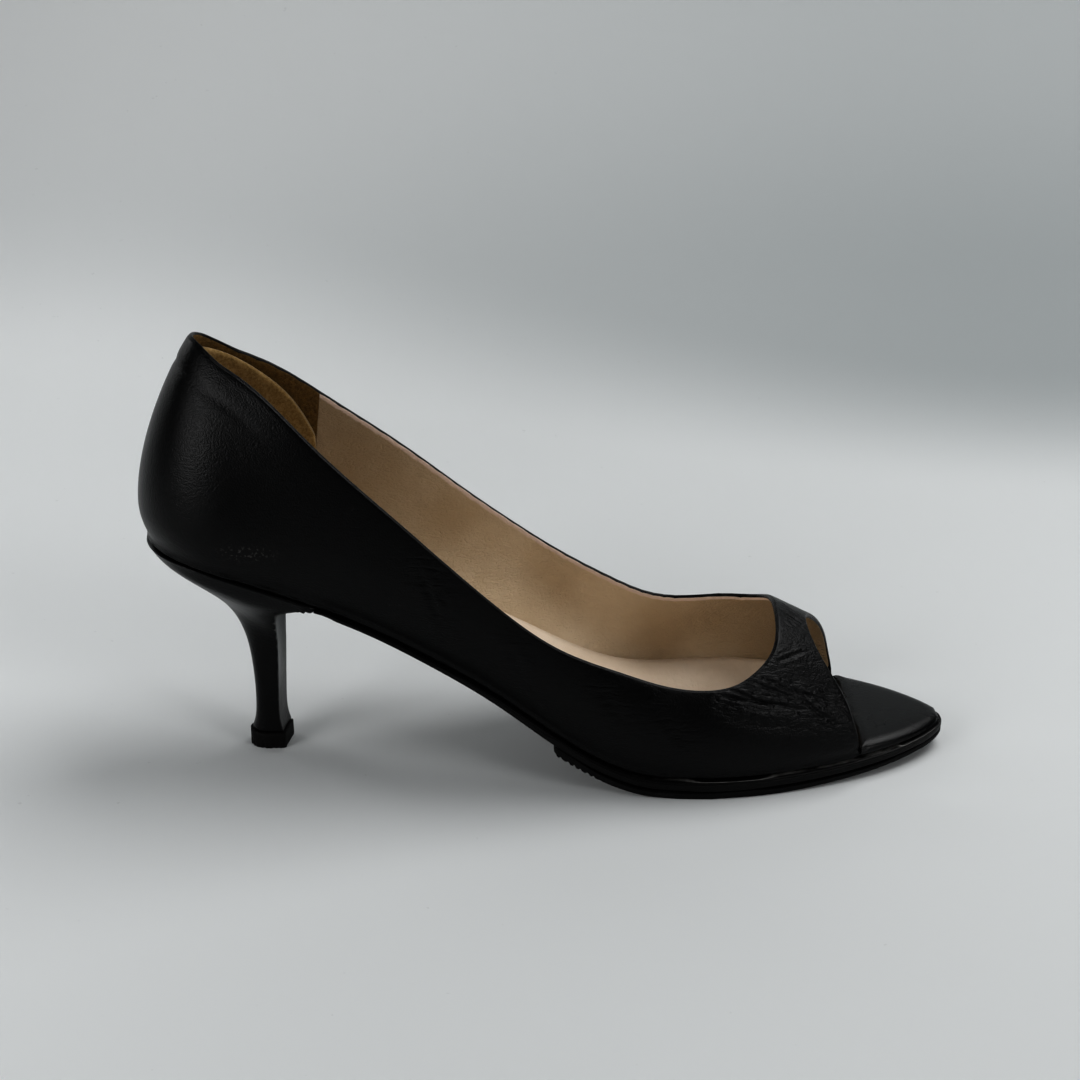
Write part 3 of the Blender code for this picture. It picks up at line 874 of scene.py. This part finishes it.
@dataclass
class Upper(Dresser):
    """The leather upper: outer leather, lining, folded edges, creases and the padded look of the collar."""

    levels: int = 2
    wall_turn: float = 52.0
    outer_side: float = -20.0
    mirror_shift: float = 1.5
    vamp_start: float = 40.0
    fold_reach: float = 2.6
    flex_reach: float = 5.0
    edge_fade: Range = (0.3, 2.2)
    rim_rise: float = 4.5
    feather_radius: float = 2.6
    lasted_radius: float = 0.9
    under_facing: float = -0.8
    feather_fade: Range = (0.02, 0.12)
    collar_end: Range = (-91.0, -73.0)
    collar_rolls: tuple[Roll, ...] = (
        Roll(height=0.10, below=5.2, width=1.8),
        Roll(height=-0.24, below=8.2, width=1.1),
    )
    seam_end: Range = (-106.0, -100.0)
    seam_depth: float = 0.28
    seam_width: float = 0.55
    vamp_folds: tuple[Crease, ...] = (
        Crease(0.6, 0.6, ((48.8, -31.5, 31.0), (52.3, -31.2, 30.1), (62.4, -29.4, 27.6),
                (72.7, -27.2, 24.5))),
        Crease(0.45, 0.5, ((50.3, -30.4, 32.5), (53.2, -30.2, 31.5), (55.7, -30.1, 30.4),
                (57.8, -30.1, 29.2))),
        Crease(0.5, 0.55, ((62.6, -26.0, 32.5), (66.0, -25.6, 31.0), (69.9, -25.2, 29.3),
                (75.5, -24.1, 27.3))),
        Crease(0.5, 0.5, ((57.1, -27.4, 33.7), (62.6, -27.1, 31.0), (66.0, -26.7, 29.6),
                (70.2, -26.1, 27.9))),
        Crease(0.35, 0.5, ((59.3, -25.7, 34.6), (62.7, -25.5, 33.1), (66.1, -25.3, 31.4))),
        Crease(0.4, 0.5, ((72.8, -25.9, 26.5), (74.9, -26.2, 24.8), (77.1, -26.4, 22.9),
                (79.2, -26.4, 21.2))),
        Crease(0.35, 0.5, ((70.4, -24.5, 29.9), (74.2, -24.4, 27.8), (78.1, -23.7, 26.2),
                (81.1, -23.6, 24.4))),
        Crease(0.35, 0.6, ((77.1, -25.9, 23.7), (79.7, -26.2, 21.3), (83.2, -26.0, 18.6))),
        Crease(-0.3, 1.5, ((51.5, -32.7, 27.5), (56.5, -32.1, 26.1), (62.4, -31.0, 24.6),
                (72.7, -28.5, 22.3))),
        Crease(0.28, 0.6, ((65.2, -20.6, 36.7), (69.3, -17.9, 36.8), (73.9, -14.4, 36.8))),
        Crease(0.3, 0.5, ((69.3, 4.0, 44.2), (72.4, 0.9, 42.8), (75.7, -0.8, 41.0))),
        Crease(0.28, 0.5, ((68.7, -2.3, 44.2), (71.9, -2.7, 42.5), (74.9, -3.6, 40.9))),
        Crease(0.22, 0.5, ((70.3, -5.5, 42.7), (72.7, -6.7, 41.0))),
    )
    quarter_folds: tuple[Crease, ...] = (
        Crease(0.4, 0.8, ((-35.6, -29.0, 68.0), (-35.1, -29.2, 66.0), (-33.3, -29.5, 60.0),
                (-31.2, -29.2, 53.5), (-30.6, -28.8, 50.0))),
        Crease(0.22, 0.8, ((-31.0, -29.2, 63.5), (-29.8, -29.3, 60.0), (-28.8, -29.2, 55.5))),
        Crease(0.22, 1.3, ((-12.0, -30.6, 47.0), (-9.0, -31.0, 41.0), (-8.0, -30.8, 36.0))),
        Crease(0.25, 1.8, ((14.0, -33.0, 35.0), (18.0, -33.6, 28.0), (20.0, -33.8, 22.0))),
        Crease(0.25, 1.6, ((30.0, -34.0, 29.0), (34.0, -34.6, 23.0), (38.0, -34.8, 18.0))),
    )
    outer: Nappa = Nappa(folded_edge=True)
    lining: ShoeLining = ShoeLining()

    def build(self) -> Object:
        """Makes the dressed upper.

        Returns:
            The piece.
        """
        made = copy_of("upper", "leather_upper", sharp=170.0)
        self.split_wall(made.data)
        subdivide(made, self.levels)
        self.refine(made.data)
        self.shape(made.data)
        return self.finish(made, "black_leather", black_nappa=self.outer, tan_lining=self.lining)

    def split_wall(self, mesh: Mesh) -> None:
        """Marks the faces of the wall's inner side, found by flooding over smooth edges.

        Args:
            mesh: the merged copy of the upper.
        """
        bm = bmesh.new()
        bm.from_mesh(mesh)
        bm.faces.ensure_lookup_table()
        region = {}
        sizes = []
        for seed in bm.faces:
            if seed in region:
                continue
            region[seed] = len(sizes)
            stack = [seed]
            area = 0.0
            while stack:
                face = stack.pop()
                area += face.calc_area()
                for edge in face.edges:
                    if len(edge.link_faces) != 2 or edge.calc_face_angle() > math.radians(self.wall_turn):
                        continue
                    for other in edge.link_faces:
                        if other not in region:
                            region[other] = len(sizes)
                            stack.append(other)
            sizes.append(area)
        widest = max(bm.faces, key=lambda face: abs(face.calc_center_median().y))
        others = [index for index in range(len(sizes)) if index != region[widest]]
        inside = max(others, key=lambda index: sizes[index])
        for face in bm.faces:
            face.material_index = Side.INNER.value if region[face] == inside else Side.OUTER.value
        bm.to_mesh(mesh)
        bm.free()

    def all_folds(self) -> list[Crease]:
        """Gathers the folds of both sides of the foot, the inner side's mirrored from the outer side's.

        Returns:
            The folds.
        """
        folds = list(self.vamp_folds + self.quarter_folds)
        lateral = [fold for fold in folds if fold.path[0][1] < self.outer_side]
        shifts = [self.mirror_shift * (-1) ** index for index in range(len(lateral))]
        return folds + [fold.mirrored(shift) for fold, shift in zip(lateral, shifts)]

    def refine(self, mesh: Mesh) -> None:
        """Splits the outer faces round the vamp's folds once more, so that the folds stay crisp.

        Args:
            mesh: the subdivided upper.
        """
        bm = bmesh.new()
        bm.from_mesh(mesh)
        outer = [face for face in bm.faces if face.material_index == Side.OUTER.value]
        centres = np.array([face.calc_center_median() for face in outer]) / MM
        vamp = [fold for fold in self.all_folds() if fold.path[0][0] > self.vamp_start]
        near = np.min([fold.distances(centres)[0] for fold in vamp], axis=0)
        chosen = [face for face, away in zip(outer, near) if away < self.fold_reach]
        edges = list(dict.fromkeys(edge for face in chosen for edge in face.edges))
        bmesh.ops.subdivide_edges(bm, edges=edges, cuts=1, use_grid_fill=True)
        bm.to_mesh(mesh)
        bm.free()
        mesh.shade_smooth()

    def shape(self, mesh: Mesh) -> None:
        """Folds the leather, swells the collar and stores what the finishes read.

        Args:
            mesh: the subdivided upper.
        """
        points = positions(mesh)
        facing = normals(mesh)
        outer, rim = self.measure(mesh, points)
        offset = self.collar_swell(points, rim) + self.back_seam(points)
        flex = np.zeros(len(points))
        for fold in self.all_folds():
            offset += fold.offsets(points)
            near = bell(fold.distances(points)[0], 0, self.flex_reach)
            flex = np.maximum(flex, near * min(1.0, fold.depth * 2))
        offset *= outer * ease(rim, *self.edge_fade)
        move_to(mesh, points + facing * offset[:, None] + self.tight_feather(points, facing, outer))
        store(mesh, "flex", flex)
        store(mesh, "rim", rim * MM)

    def measure(self, mesh: Mesh, points: np.ndarray) -> tuple[np.ndarray, np.ndarray]:
        """Finds the outer vertices and each vertex's distance from the topline and the peep edge.

        Args:
            mesh: the subdivided upper.
            points: its vertices in millimetres.

        Returns:
            1 for each vertex of the outer side and 0 for the others, and the distances in millimetres.
        """
        seen = np.zeros((len(points), 2), dtype=bool)
        for face in mesh.polygons:
            seen[list(face.vertices), face.material_index] = True
        clear = points[:, 2] > levels_along(points)[0] + self.rim_rise
        return (~seen[:, 1]).astype(float), nearest(points, points[seen[:, 0] & seen[:, 1] & clear])

    def tight_feather(self, points: np.ndarray, facing: np.ndarray, outer: np.ndarray) -> np.ndarray:
        """Draws the leather tighter round the insole's edge than the solid's rounding.

        Args:
            points: the vertices in millimetres.
            facing: their normals.
            outer: 1 for each vertex of the outer side.

        Returns:
            How far each vertex moves, in millimetres.
        """
        under = points[(facing[:, 2] < self.under_facing) & (outer > 0)]
        under = under[np.argsort(under[:, 0])]
        rise = np.clip(points[:, 2] - np.interp(points[:, 0], under[:, 0], under[:, 2]), 0, None)
        gain = self.inset_at(rise, self.feather_radius) - self.inset_at(rise, self.lasted_radius)
        gain *= outer * ease(rise, *self.feather_fade)
        flat = facing[:, :2] / np.maximum(np.linalg.norm(facing[:, :2], axis=1), 0.2)[:, None]
        return np.column_stack((flat * gain[:, None], np.zeros(len(points))))

    @staticmethod
    def inset_at(rise: np.ndarray, radius: float) -> np.ndarray:
        """Returns how far a rounded lower edge of a radius stands back, at a rise above the bottom."""
        left = np.clip(1 - rise / radius, 0, 1)
        return radius * (1 - np.sqrt(1 - left**2))

    def collar_swell(self, points: np.ndarray, rim: np.ndarray) -> np.ndarray:
        """Returns the roll that the pad inside pushes out under the topline, with a dip below it."""
        rolled = sum(roll.rises(rim) for roll in self.collar_rolls)
        return rolled * (1 - ease(points[:, 0], *self.collar_end))

    def back_seam(self, points: np.ndarray) -> np.ndarray:
        """Returns the groove of the closed seam down the middle of the back."""
        behind = 1 - ease(points[:, 0], *self.seam_end)
        return -self.seam_depth * bell(points[:, 1], 0, self.seam_width) * behind


@dataclass
class Footbed(Dresser):
    """What the foot stands on: the sock-covered insole, the black toe bed and the grip pad at the back."""

    tread: Hollow = Hollow(along=38.0, depth=0.7, length=24.0, width=20.0)
    seat: Hollow = Hollow(along=-92.0, depth=0.5, length=20.0, width=15.0)
    top_facing: float = 0.3
    push_at: tuple[float, ...] = (-118, -90, -40, 10, 50, 74, 80)
    push: tuple[float, ...] = (0.3, 0.9, 1.7, 1.2, 0.7, 0.4, 0.0)
    push_fade: Range = (8.0, 24.0)
    bare_from: float = 90.5
    tuck: float = 1.6
    tuck_end: Range = (91.7, 93.9)
    tuck_side: Range = (24.4, 25.4)
    wrap_radius: float = 3.4
    wrap_drop: float = 1.5
    wrap_limit: float = 0.7
    side_facing: float = 0.5
    pad_fill: float = 0.4
    sock: SockLeather = SockLeather()
    bed: Nappa = Nappa(
        roughness=0.29, shine=0.3, grain_depth=0.00004, wrinkle_depth=0.00002, scuff_amount=0.1
    )
    suede: Suede = Suede()

    def build(self) -> list[Object]:
        """Makes the three pieces.

        Returns:
            The pieces.
        """
        return [self.insole(), self.toe_bed(), self.grip()]

    def insole(self) -> Object:
        """Makes the insole, spread to the walls and pressed in by the ball and the heel of the foot.

        Returns:
            The piece.
        """
        made = copy_of("insole", "insole_sock", sharp=80.0, levels=2)
        points = positions(made.data)
        spread = np.interp(points[:, 0], self.push_at, self.push)
        points[:, 1] += np.sign(points[:, 1]) * spread * ease(np.abs(points[:, 1]), *self.push_fade)
        up = normals(made.data)[:, 2] > self.top_facing
        for hollow in (self.tread, self.seat):
            points[:, 2] -= up * hollow.depths(points)
        move_to(made.data, points)
        return self.finish(made, "sock_leather", beige_sock=self.sock)

    def toe_bed(self) -> Object:
        """Makes the leather-covered front that shows through the peep opening.

        Returns:
            The piece.
        """
        made = copy_of("toe_bed", "toe_bed_cover", sharp=80.0, levels=3)
        points = self.rounded_over(made.data)
        behind = 1 - ease(points[:, 0], *self.tuck_end)
        wide = ease(np.abs(points[:, 1]), *self.tuck_side) * (points[:, 0] > self.bare_from)
        points[:, 0] -= self.tuck * behind * wide
        move_to(made.data, points)
        return self.finish(made, "black_leather", toe_bed_leather=self.bed)

    def rounded_over(self, mesh: Mesh) -> np.ndarray:
        """Rounds the toe bed's upper edge, where its leather wraps over.

        Args:
            mesh: the toe bed's mesh.

        Returns:
            The vertices' new positions in millimetres.
        """
        points = positions(mesh)
        plan = points * (1, 1, 0)
        away = nearest(plan, plan[np.abs(normals(mesh)[:, 2]) < self.side_facing])
        floor, top = levels_along(points)
        drop = self.wrap_drop * Upper.inset_at(away, self.wrap_radius) / self.wrap_radius
        drop = np.minimum(drop, self.wrap_limit * (top - floor))
        points[:, 2] -= drop * np.clip((points[:, 2] - floor) / (top - floor), 0, 1)
        return points

    def grip(self) -> Object:
        """Makes the suede pad, subdivided from the CAD grip.

        Returns:
            The piece.
        """
        made = copy_of("heel_grip", "suede_heel_grip", sharp=170.0, levels=3)
        return self.finish(made, "tan_suede", tan_suede=self.suede)


@dataclass
class Bottom(Dresser):
    """The outsole and the rubber half sole."""

    edge: SoleEdge = SoleEdge()
    rubber: WornRubber = WornRubber()
    start_length: float = 1.5
    thinned: float = 0.55
    thin_end: Range = (0.3, 6.0)
    heel_reach: float = 1.1
    reach_end: Range = (0.3, 3.0)
    bedded: float = 0.8
    bed_end: Range = (4.0, 16.0)
    fray: float = 0.8
    fray_end: Range = (9.0, 15.0)
    wave: float = 0.4
    wave_end: Range = (0.0, 3.0)

    def build(self) -> list[Object]:
        """Makes both soles.

        Returns:
            The pieces.
        """
        outsole = self.plate("outsole", "leather_outsole", 2)
        self.skive_start(outsole.data)
        half = self.plate("half_sole", "rubber_half_sole", 3)
        self.roughen_back(half.data)
        return [
            self.finish(outsole, "sole_edge", dressed_sole=self.edge),
            self.finish(half, "black_rubber", sole_rubber=self.rubber),
        ]

    @staticmethod
    def plate(node: str, name: str, levels: int) -> Object:
        """Makes one sole and stores how high each vertex is in its thickness.

        Args:
            node: the CAD node.
            name: the piece's name.
            levels: how many times each face is split.

        Returns:
            The piece.
        """
        made = copy_of(node, name, sharp=50.0, levels=levels)
        points = positions(made.data)
        floor, top = levels_along(points, 120)
        store(made.data, "tier", np.clip((points[:, 2] - floor) / (top - floor), 0, 1))
        return made

    def skive_start(self, mesh: Mesh) -> None:
        """Thins the outsole's back end and runs it in under the heel's front lip.

        Args:
            mesh: the outsole's mesh.
        """
        points = positions(mesh)
        past = points[:, 0] - points[:, 0].min()
        heights = points[past < self.start_length, 2]
        low, high = heights.min(), heights.max()
        thin = np.clip((high - points[:, 2]) / (high - low), 0, 1)
        points[:, 2] += self.thinned * (high - low) * thin * (1 - ease(past, *self.thin_end))
        points[:, 0] -= self.heel_reach * (1 - ease(past, *self.reach_end))
        move_to(mesh, points)

    def roughen_back(self, mesh: Mesh) -> None:
        """Frays the cut back end of the half sole and beds its top in the outsole.

        Args:
            mesh: the half sole's mesh.
        """
        points = positions(mesh)
        up = normals(mesh)[:, 2]
        across = points[:, 1]
        past = points[:, 0] - points[:, 0].min()
        points[:, 2] += self.bedded * (1 - ease(past, *self.bed_end)) * (up > 0.4)
        teeth = np.clip(np.sin(points[:, 0] * 3.1 + 1.6 * np.sin(across * 0.9)), 0, 1)
        points[:, 2] += self.fray * teeth * (1 - ease(past, *self.fray_end)) * (up < 0.25)
        wave = np.sin(across * 3.1) * 0.5 + np.sin(across * 7.7 + 1.3) * 0.5
        points[:, 0] += self.wave * (1 - ease(past, *self.wave_end)) * wave
        move_to(mesh, points)


@dataclass
class HeelUnit(Dresser):
    """The covered heel and its top piece."""

    cover: HeelCover = HeelCover()
    rubber: WornRubber = WornRubber(dust=0.3, colour=(0.006, 0.0057, 0.0054))
    breast_top: Range = (46.0, 50.0)
    breast_turn: Range = (0.35, 0.9)
    lip_above: float = 40.0
    lip_start: Range = (-73.0, -68.0)
    lip_stop: Range = (-67.0, -66.3)
    lip_tear: float = 1.5
    tip_x: float = -85.5
    chipped: float = 0.05
    chip_end: Range = (0.15, 0.75)

    def build(self) -> list[Object]:
        """Makes both pieces.

        Returns:
            The pieces.
        """
        heel = copy_of("heel", "covered_heel", sharp=48.0, levels=2)
        self.fray_lip(heel.data)
        below = 1 - ease(positions(heel.data)[:, 2], *self.breast_top)
        store(heel.data, "breast", ease(normals(heel.data)[:, 0], *self.breast_turn) * below)
        top = copy_of("top_piece", "heel_top_piece", sharp=50.0, levels=3)
        self.batter(top.data)
        return [
            self.finish(heel, "heel_leather", heel_cover=self.cover),
            self.finish(top, "black_rubber", top_piece_rubber=self.rubber),
        ]

    def fray_lip(self, mesh: Mesh) -> None:
        """Thickens and tears the lip in front of the heel's breast, where the sole starts.

        Args:
            mesh: the heel's mesh.
        """
        points = positions(mesh)
        along = points[:, 0]
        under = (normals(mesh)[:, 2] < -0.3) & (points[:, 2] > self.lip_above)
        front = ease(along, *self.lip_start) * (1 - 0.7 * ease(along, *self.lip_stop))
        torn = 0.5 + 0.3 * np.sin(along * 3.3 + 1.0) + 0.2 * np.sin(points[:, 1] * 1.9 + along * 5.1)
        points[:, 2] -= self.lip_tear * torn * front * under
        move_to(mesh, points)

    def batter(self, mesh: Mesh) -> None:
        """Chips the lower edge of the top piece and stores its tier.

        Args:
            mesh: the top piece's mesh.
        """
        points = positions(mesh)
        share = np.clip(points[:, 2] / points[:, 2].max(), 0, 1)
        turn = np.arctan2(points[:, 1], points[:, 0] - self.tip_x)
        wave = np.sin(turn * 9) * 0.5 + np.sin(turn * 23 + 0.7) * 0.5
        pull = self.chipped * (1 - ease(share, *self.chip_end)) * np.clip(wave, -0.3, 1)
        points[:, 0] += (self.tip_x - points[:, 0]) * pull
        points[:, 1] -= points[:, 1] * pull
        move_to(mesh, points)
        store(mesh, "tier", np.maximum(share, 0.3))


@dataclass(frozen=True)
class SoftLight:
    """A square soft light: its place, the point that it faces, the length of its side and its power."""

    name: str
    place: Point
    aim: Point
    size: float
    power: float

    def build(self) -> None:
        """Adds the light to the scene."""
        data = bpy.data.lights.new(self.name, "AREA")
        data.size = self.size
        data.energy = self.power
        made = bpy.data.objects.new(self.name, data)
        made.location = self.place
        made.rotation_euler = (Vector(self.aim) - Vector(self.place)).to_track_quat("-Z", "Y").to_euler()
        bpy.context.scene.collection.objects.link(made)


@dataclass
class Studio:
    """The pale sweep, the soft lights and the camera of the photograph."""

    target: Point = (-0.003139, -0.000123, 0.0663)
    azimuth: float = -0.2
    elevation: float = 21.9
    distance: float = 0.498
    focal_pixels: float = 1700.0
    frame_pixels: float = 1080.0
    sensor: float = 36.0
    clip_start: float = 0.01
    floor_colour: Colour = (0.71, 0.724, 0.724)
    left_light_colour: Colour = (0.86, 0.875, 0.875)
    band_shade_colour: Colour = (0.385, 0.408, 0.413)
    room_dark: Colour = (0.015, 0.015, 0.017)
    room_pale: Colour = (0.80, 0.85, 0.90)
    room: tuple[tuple[str, float, float, float], ...] = (
        ("Z", 0.5, 0.85, 0.75),
        ("Y", -0.3, 0.9, 0.4),
        ("X", -0.2, -0.95, 0.2),
    )
    room_strength: float = 0.17
    sweep_start: float = 0.27
    sweep_radius: float = 0.5
    sweep_steps: int = 24
    half_width: float = 4.0
    front: float = -3.0
    wall_height: float = 3.0
    lights: tuple[SoftLight, ...] = (
        SoftLight("overhead_softbox", (0.42, 0.20, 0.85), (0.0, 0.0, 0.0), 0.70, 4.1),
        SoftLight("front_left_window", (-0.90, -0.78, 0.50), (-0.09, 0.0, 0.09), 0.60, 4.0),
        SoftLight("front_right_window", (0.82, -0.68, 0.50), (0.06, 0.0, 0.03), 0.40, 2.2),
        SoftLight("back_left_window", (-0.95, 0.75, 0.55), (-0.05, 0.1, 0.05), 0.6, 2.0),
    )

    def build(self) -> None:
        """Makes the sweep, the lights and the camera."""
        self.sweep()
        for light in self.lights:
            light.build()
        self.world()
        self.camera()
        bpy.context.scene.view_settings.view_transform = "Standard"
        bpy.context.scene.view_settings.look = "High Contrast"

    def sweep(self) -> None:
        """Makes a floor that curves up into a backdrop."""
        bm = bmesh.new()
        profile = [(self.front, 0.0), (self.sweep_start, 0.0)]
        for turn in np.linspace(0, math.pi / 2, self.sweep_steps + 1)[1:]:
            rise = self.sweep_radius * (1 - math.cos(turn))
            profile.append((self.sweep_start + self.sweep_radius * math.sin(turn), rise))
        profile.append((self.sweep_start + self.sweep_radius, self.wall_height))
        row = [bm.verts.new((-self.half_width, y, z)) for y, z in profile]
        edges = [bm.edges.new(pair) for pair in zip(row, row[1:])]
        grown = bmesh.ops.extrude_edge_only(bm, edges=edges)["geom"]
        moved = [item for item in grown if isinstance(item, bmesh.types.BMVert)]
        bmesh.ops.translate(bm, verts=moved, vec=(2 * self.half_width, 0, 0))
        bmesh.ops.recalc_face_normals(bm, faces=bm.faces)
        mesh = bpy.data.meshes.new("studio_sweep")
        bm.to_mesh(mesh)
        bm.free()
        mesh.shade_smooth()
        mesh.materials.append(self.backdrop())
        made = bpy.data.objects.new("studio_sweep", mesh)
        bpy.context.scene.collection.objects.link(made)

    def backdrop(self) -> Material:
        """Makes the sweep's material: pale, with a band of painted shade behind the shoe and painted light
        on the floor to the left.

        Returns:
            The new material.
        """
        skin = Skin("pale_sweep")
        along = skin.at("X")
        into = skin.at("Y")
        # Painted shade: a darker band across the sweep behind the shoe, stronger to the right and lifted off
        # higher up.
        rightward = skin.step(along, -0.30, 0.28)
        past = skin.minus(into, skin.minus(0.375, skin.times(rightward, 0.17)))
        band = skin.times(skin.step(past, 0.0, 0.17), skin.plus(0.3, skin.times(rightward, 0.65)))
        lifted = skin.times(skin.step(into, 0.46, 0.66), 0.30)
        shade_band = skin.math("SUBTRACT", band, lifted, clamp=True)
        # Painted light: the floor to the left is painted paler.
        leftward = skin.flipped(skin.step(along, -0.28, 0.02))
        left = skin.times(leftward, skin.flipped(skin.step(into, 0.40, 0.65)))
        tone = skin.mix(shade_band, skin.mix(left, self.floor_colour, self.left_light_colour), self.band_shade_colour)
        speck = skin.times(skin.step(skin.noise(260.0, 2.0), 0.74, 0.78), 0.2)
        skin.wire(skin.mix(speck, tone, paler(self.floor_colour, 0.6)), 0.75, [], 0.2)
        return skin.material

    def world(self) -> None:
        """Makes a room that is pale above, behind and to the left, and dark in front of the shoe.

        Each row of room holds an axis, where along it the light starts and is full, and its share.
        """
        world = bpy.data.worlds.new("studio_room")
        world.use_nodes = True
        bpy.context.scene.world = world
        graph = NodeGraph(world.node_tree)
        toward = graph.node("TexCoord").outputs["Generated"]
        level = 0.0
        for axis, start, end, share in self.room:
            level = graph.plus(graph.times(graph.step(graph.axis(toward, axis), start, end), share), level)
        ground = world.node_tree.nodes["Background"]
        graph.feed(ground.inputs["Color"], graph.mix(level, self.room_dark, self.room_pale))
        ground.inputs["Strength"].default_value = self.room_strength

    def camera(self) -> None:
        """Places the camera at the photograph's angle and makes it the scene's camera."""
        side = math.radians(self.azimuth)
        height = math.radians(self.elevation)
        level = math.cos(height)
        back = Vector((math.sin(side) * level, -math.cos(side) * level, math.sin(height)))
        data = bpy.data.cameras.new("photo_camera")
        data.sensor_width = self.sensor
        data.lens = self.sensor * self.focal_pixels / self.frame_pixels
        data.clip_start = self.clip_start
        made = bpy.data.objects.new("photo_camera", data)
        made.location = Vector(self.target) + back * self.distance
        made.rotation_euler = (-back).to_track_quat("-Z", "Y").to_euler()
        bpy.context.scene.collection.objects.link(made)
        bpy.context.scene.camera = made


def main() -> None:
    """Builds every sub-assembly in order."""
    Studio().build()
    effects = SharedEffects()
    Upper(effects).build()
    for assembly in (Footbed(effects), Bottom(effects), HeelUnit(effects)):
        assembly.build()


if __name__ == "__main__":
    main()
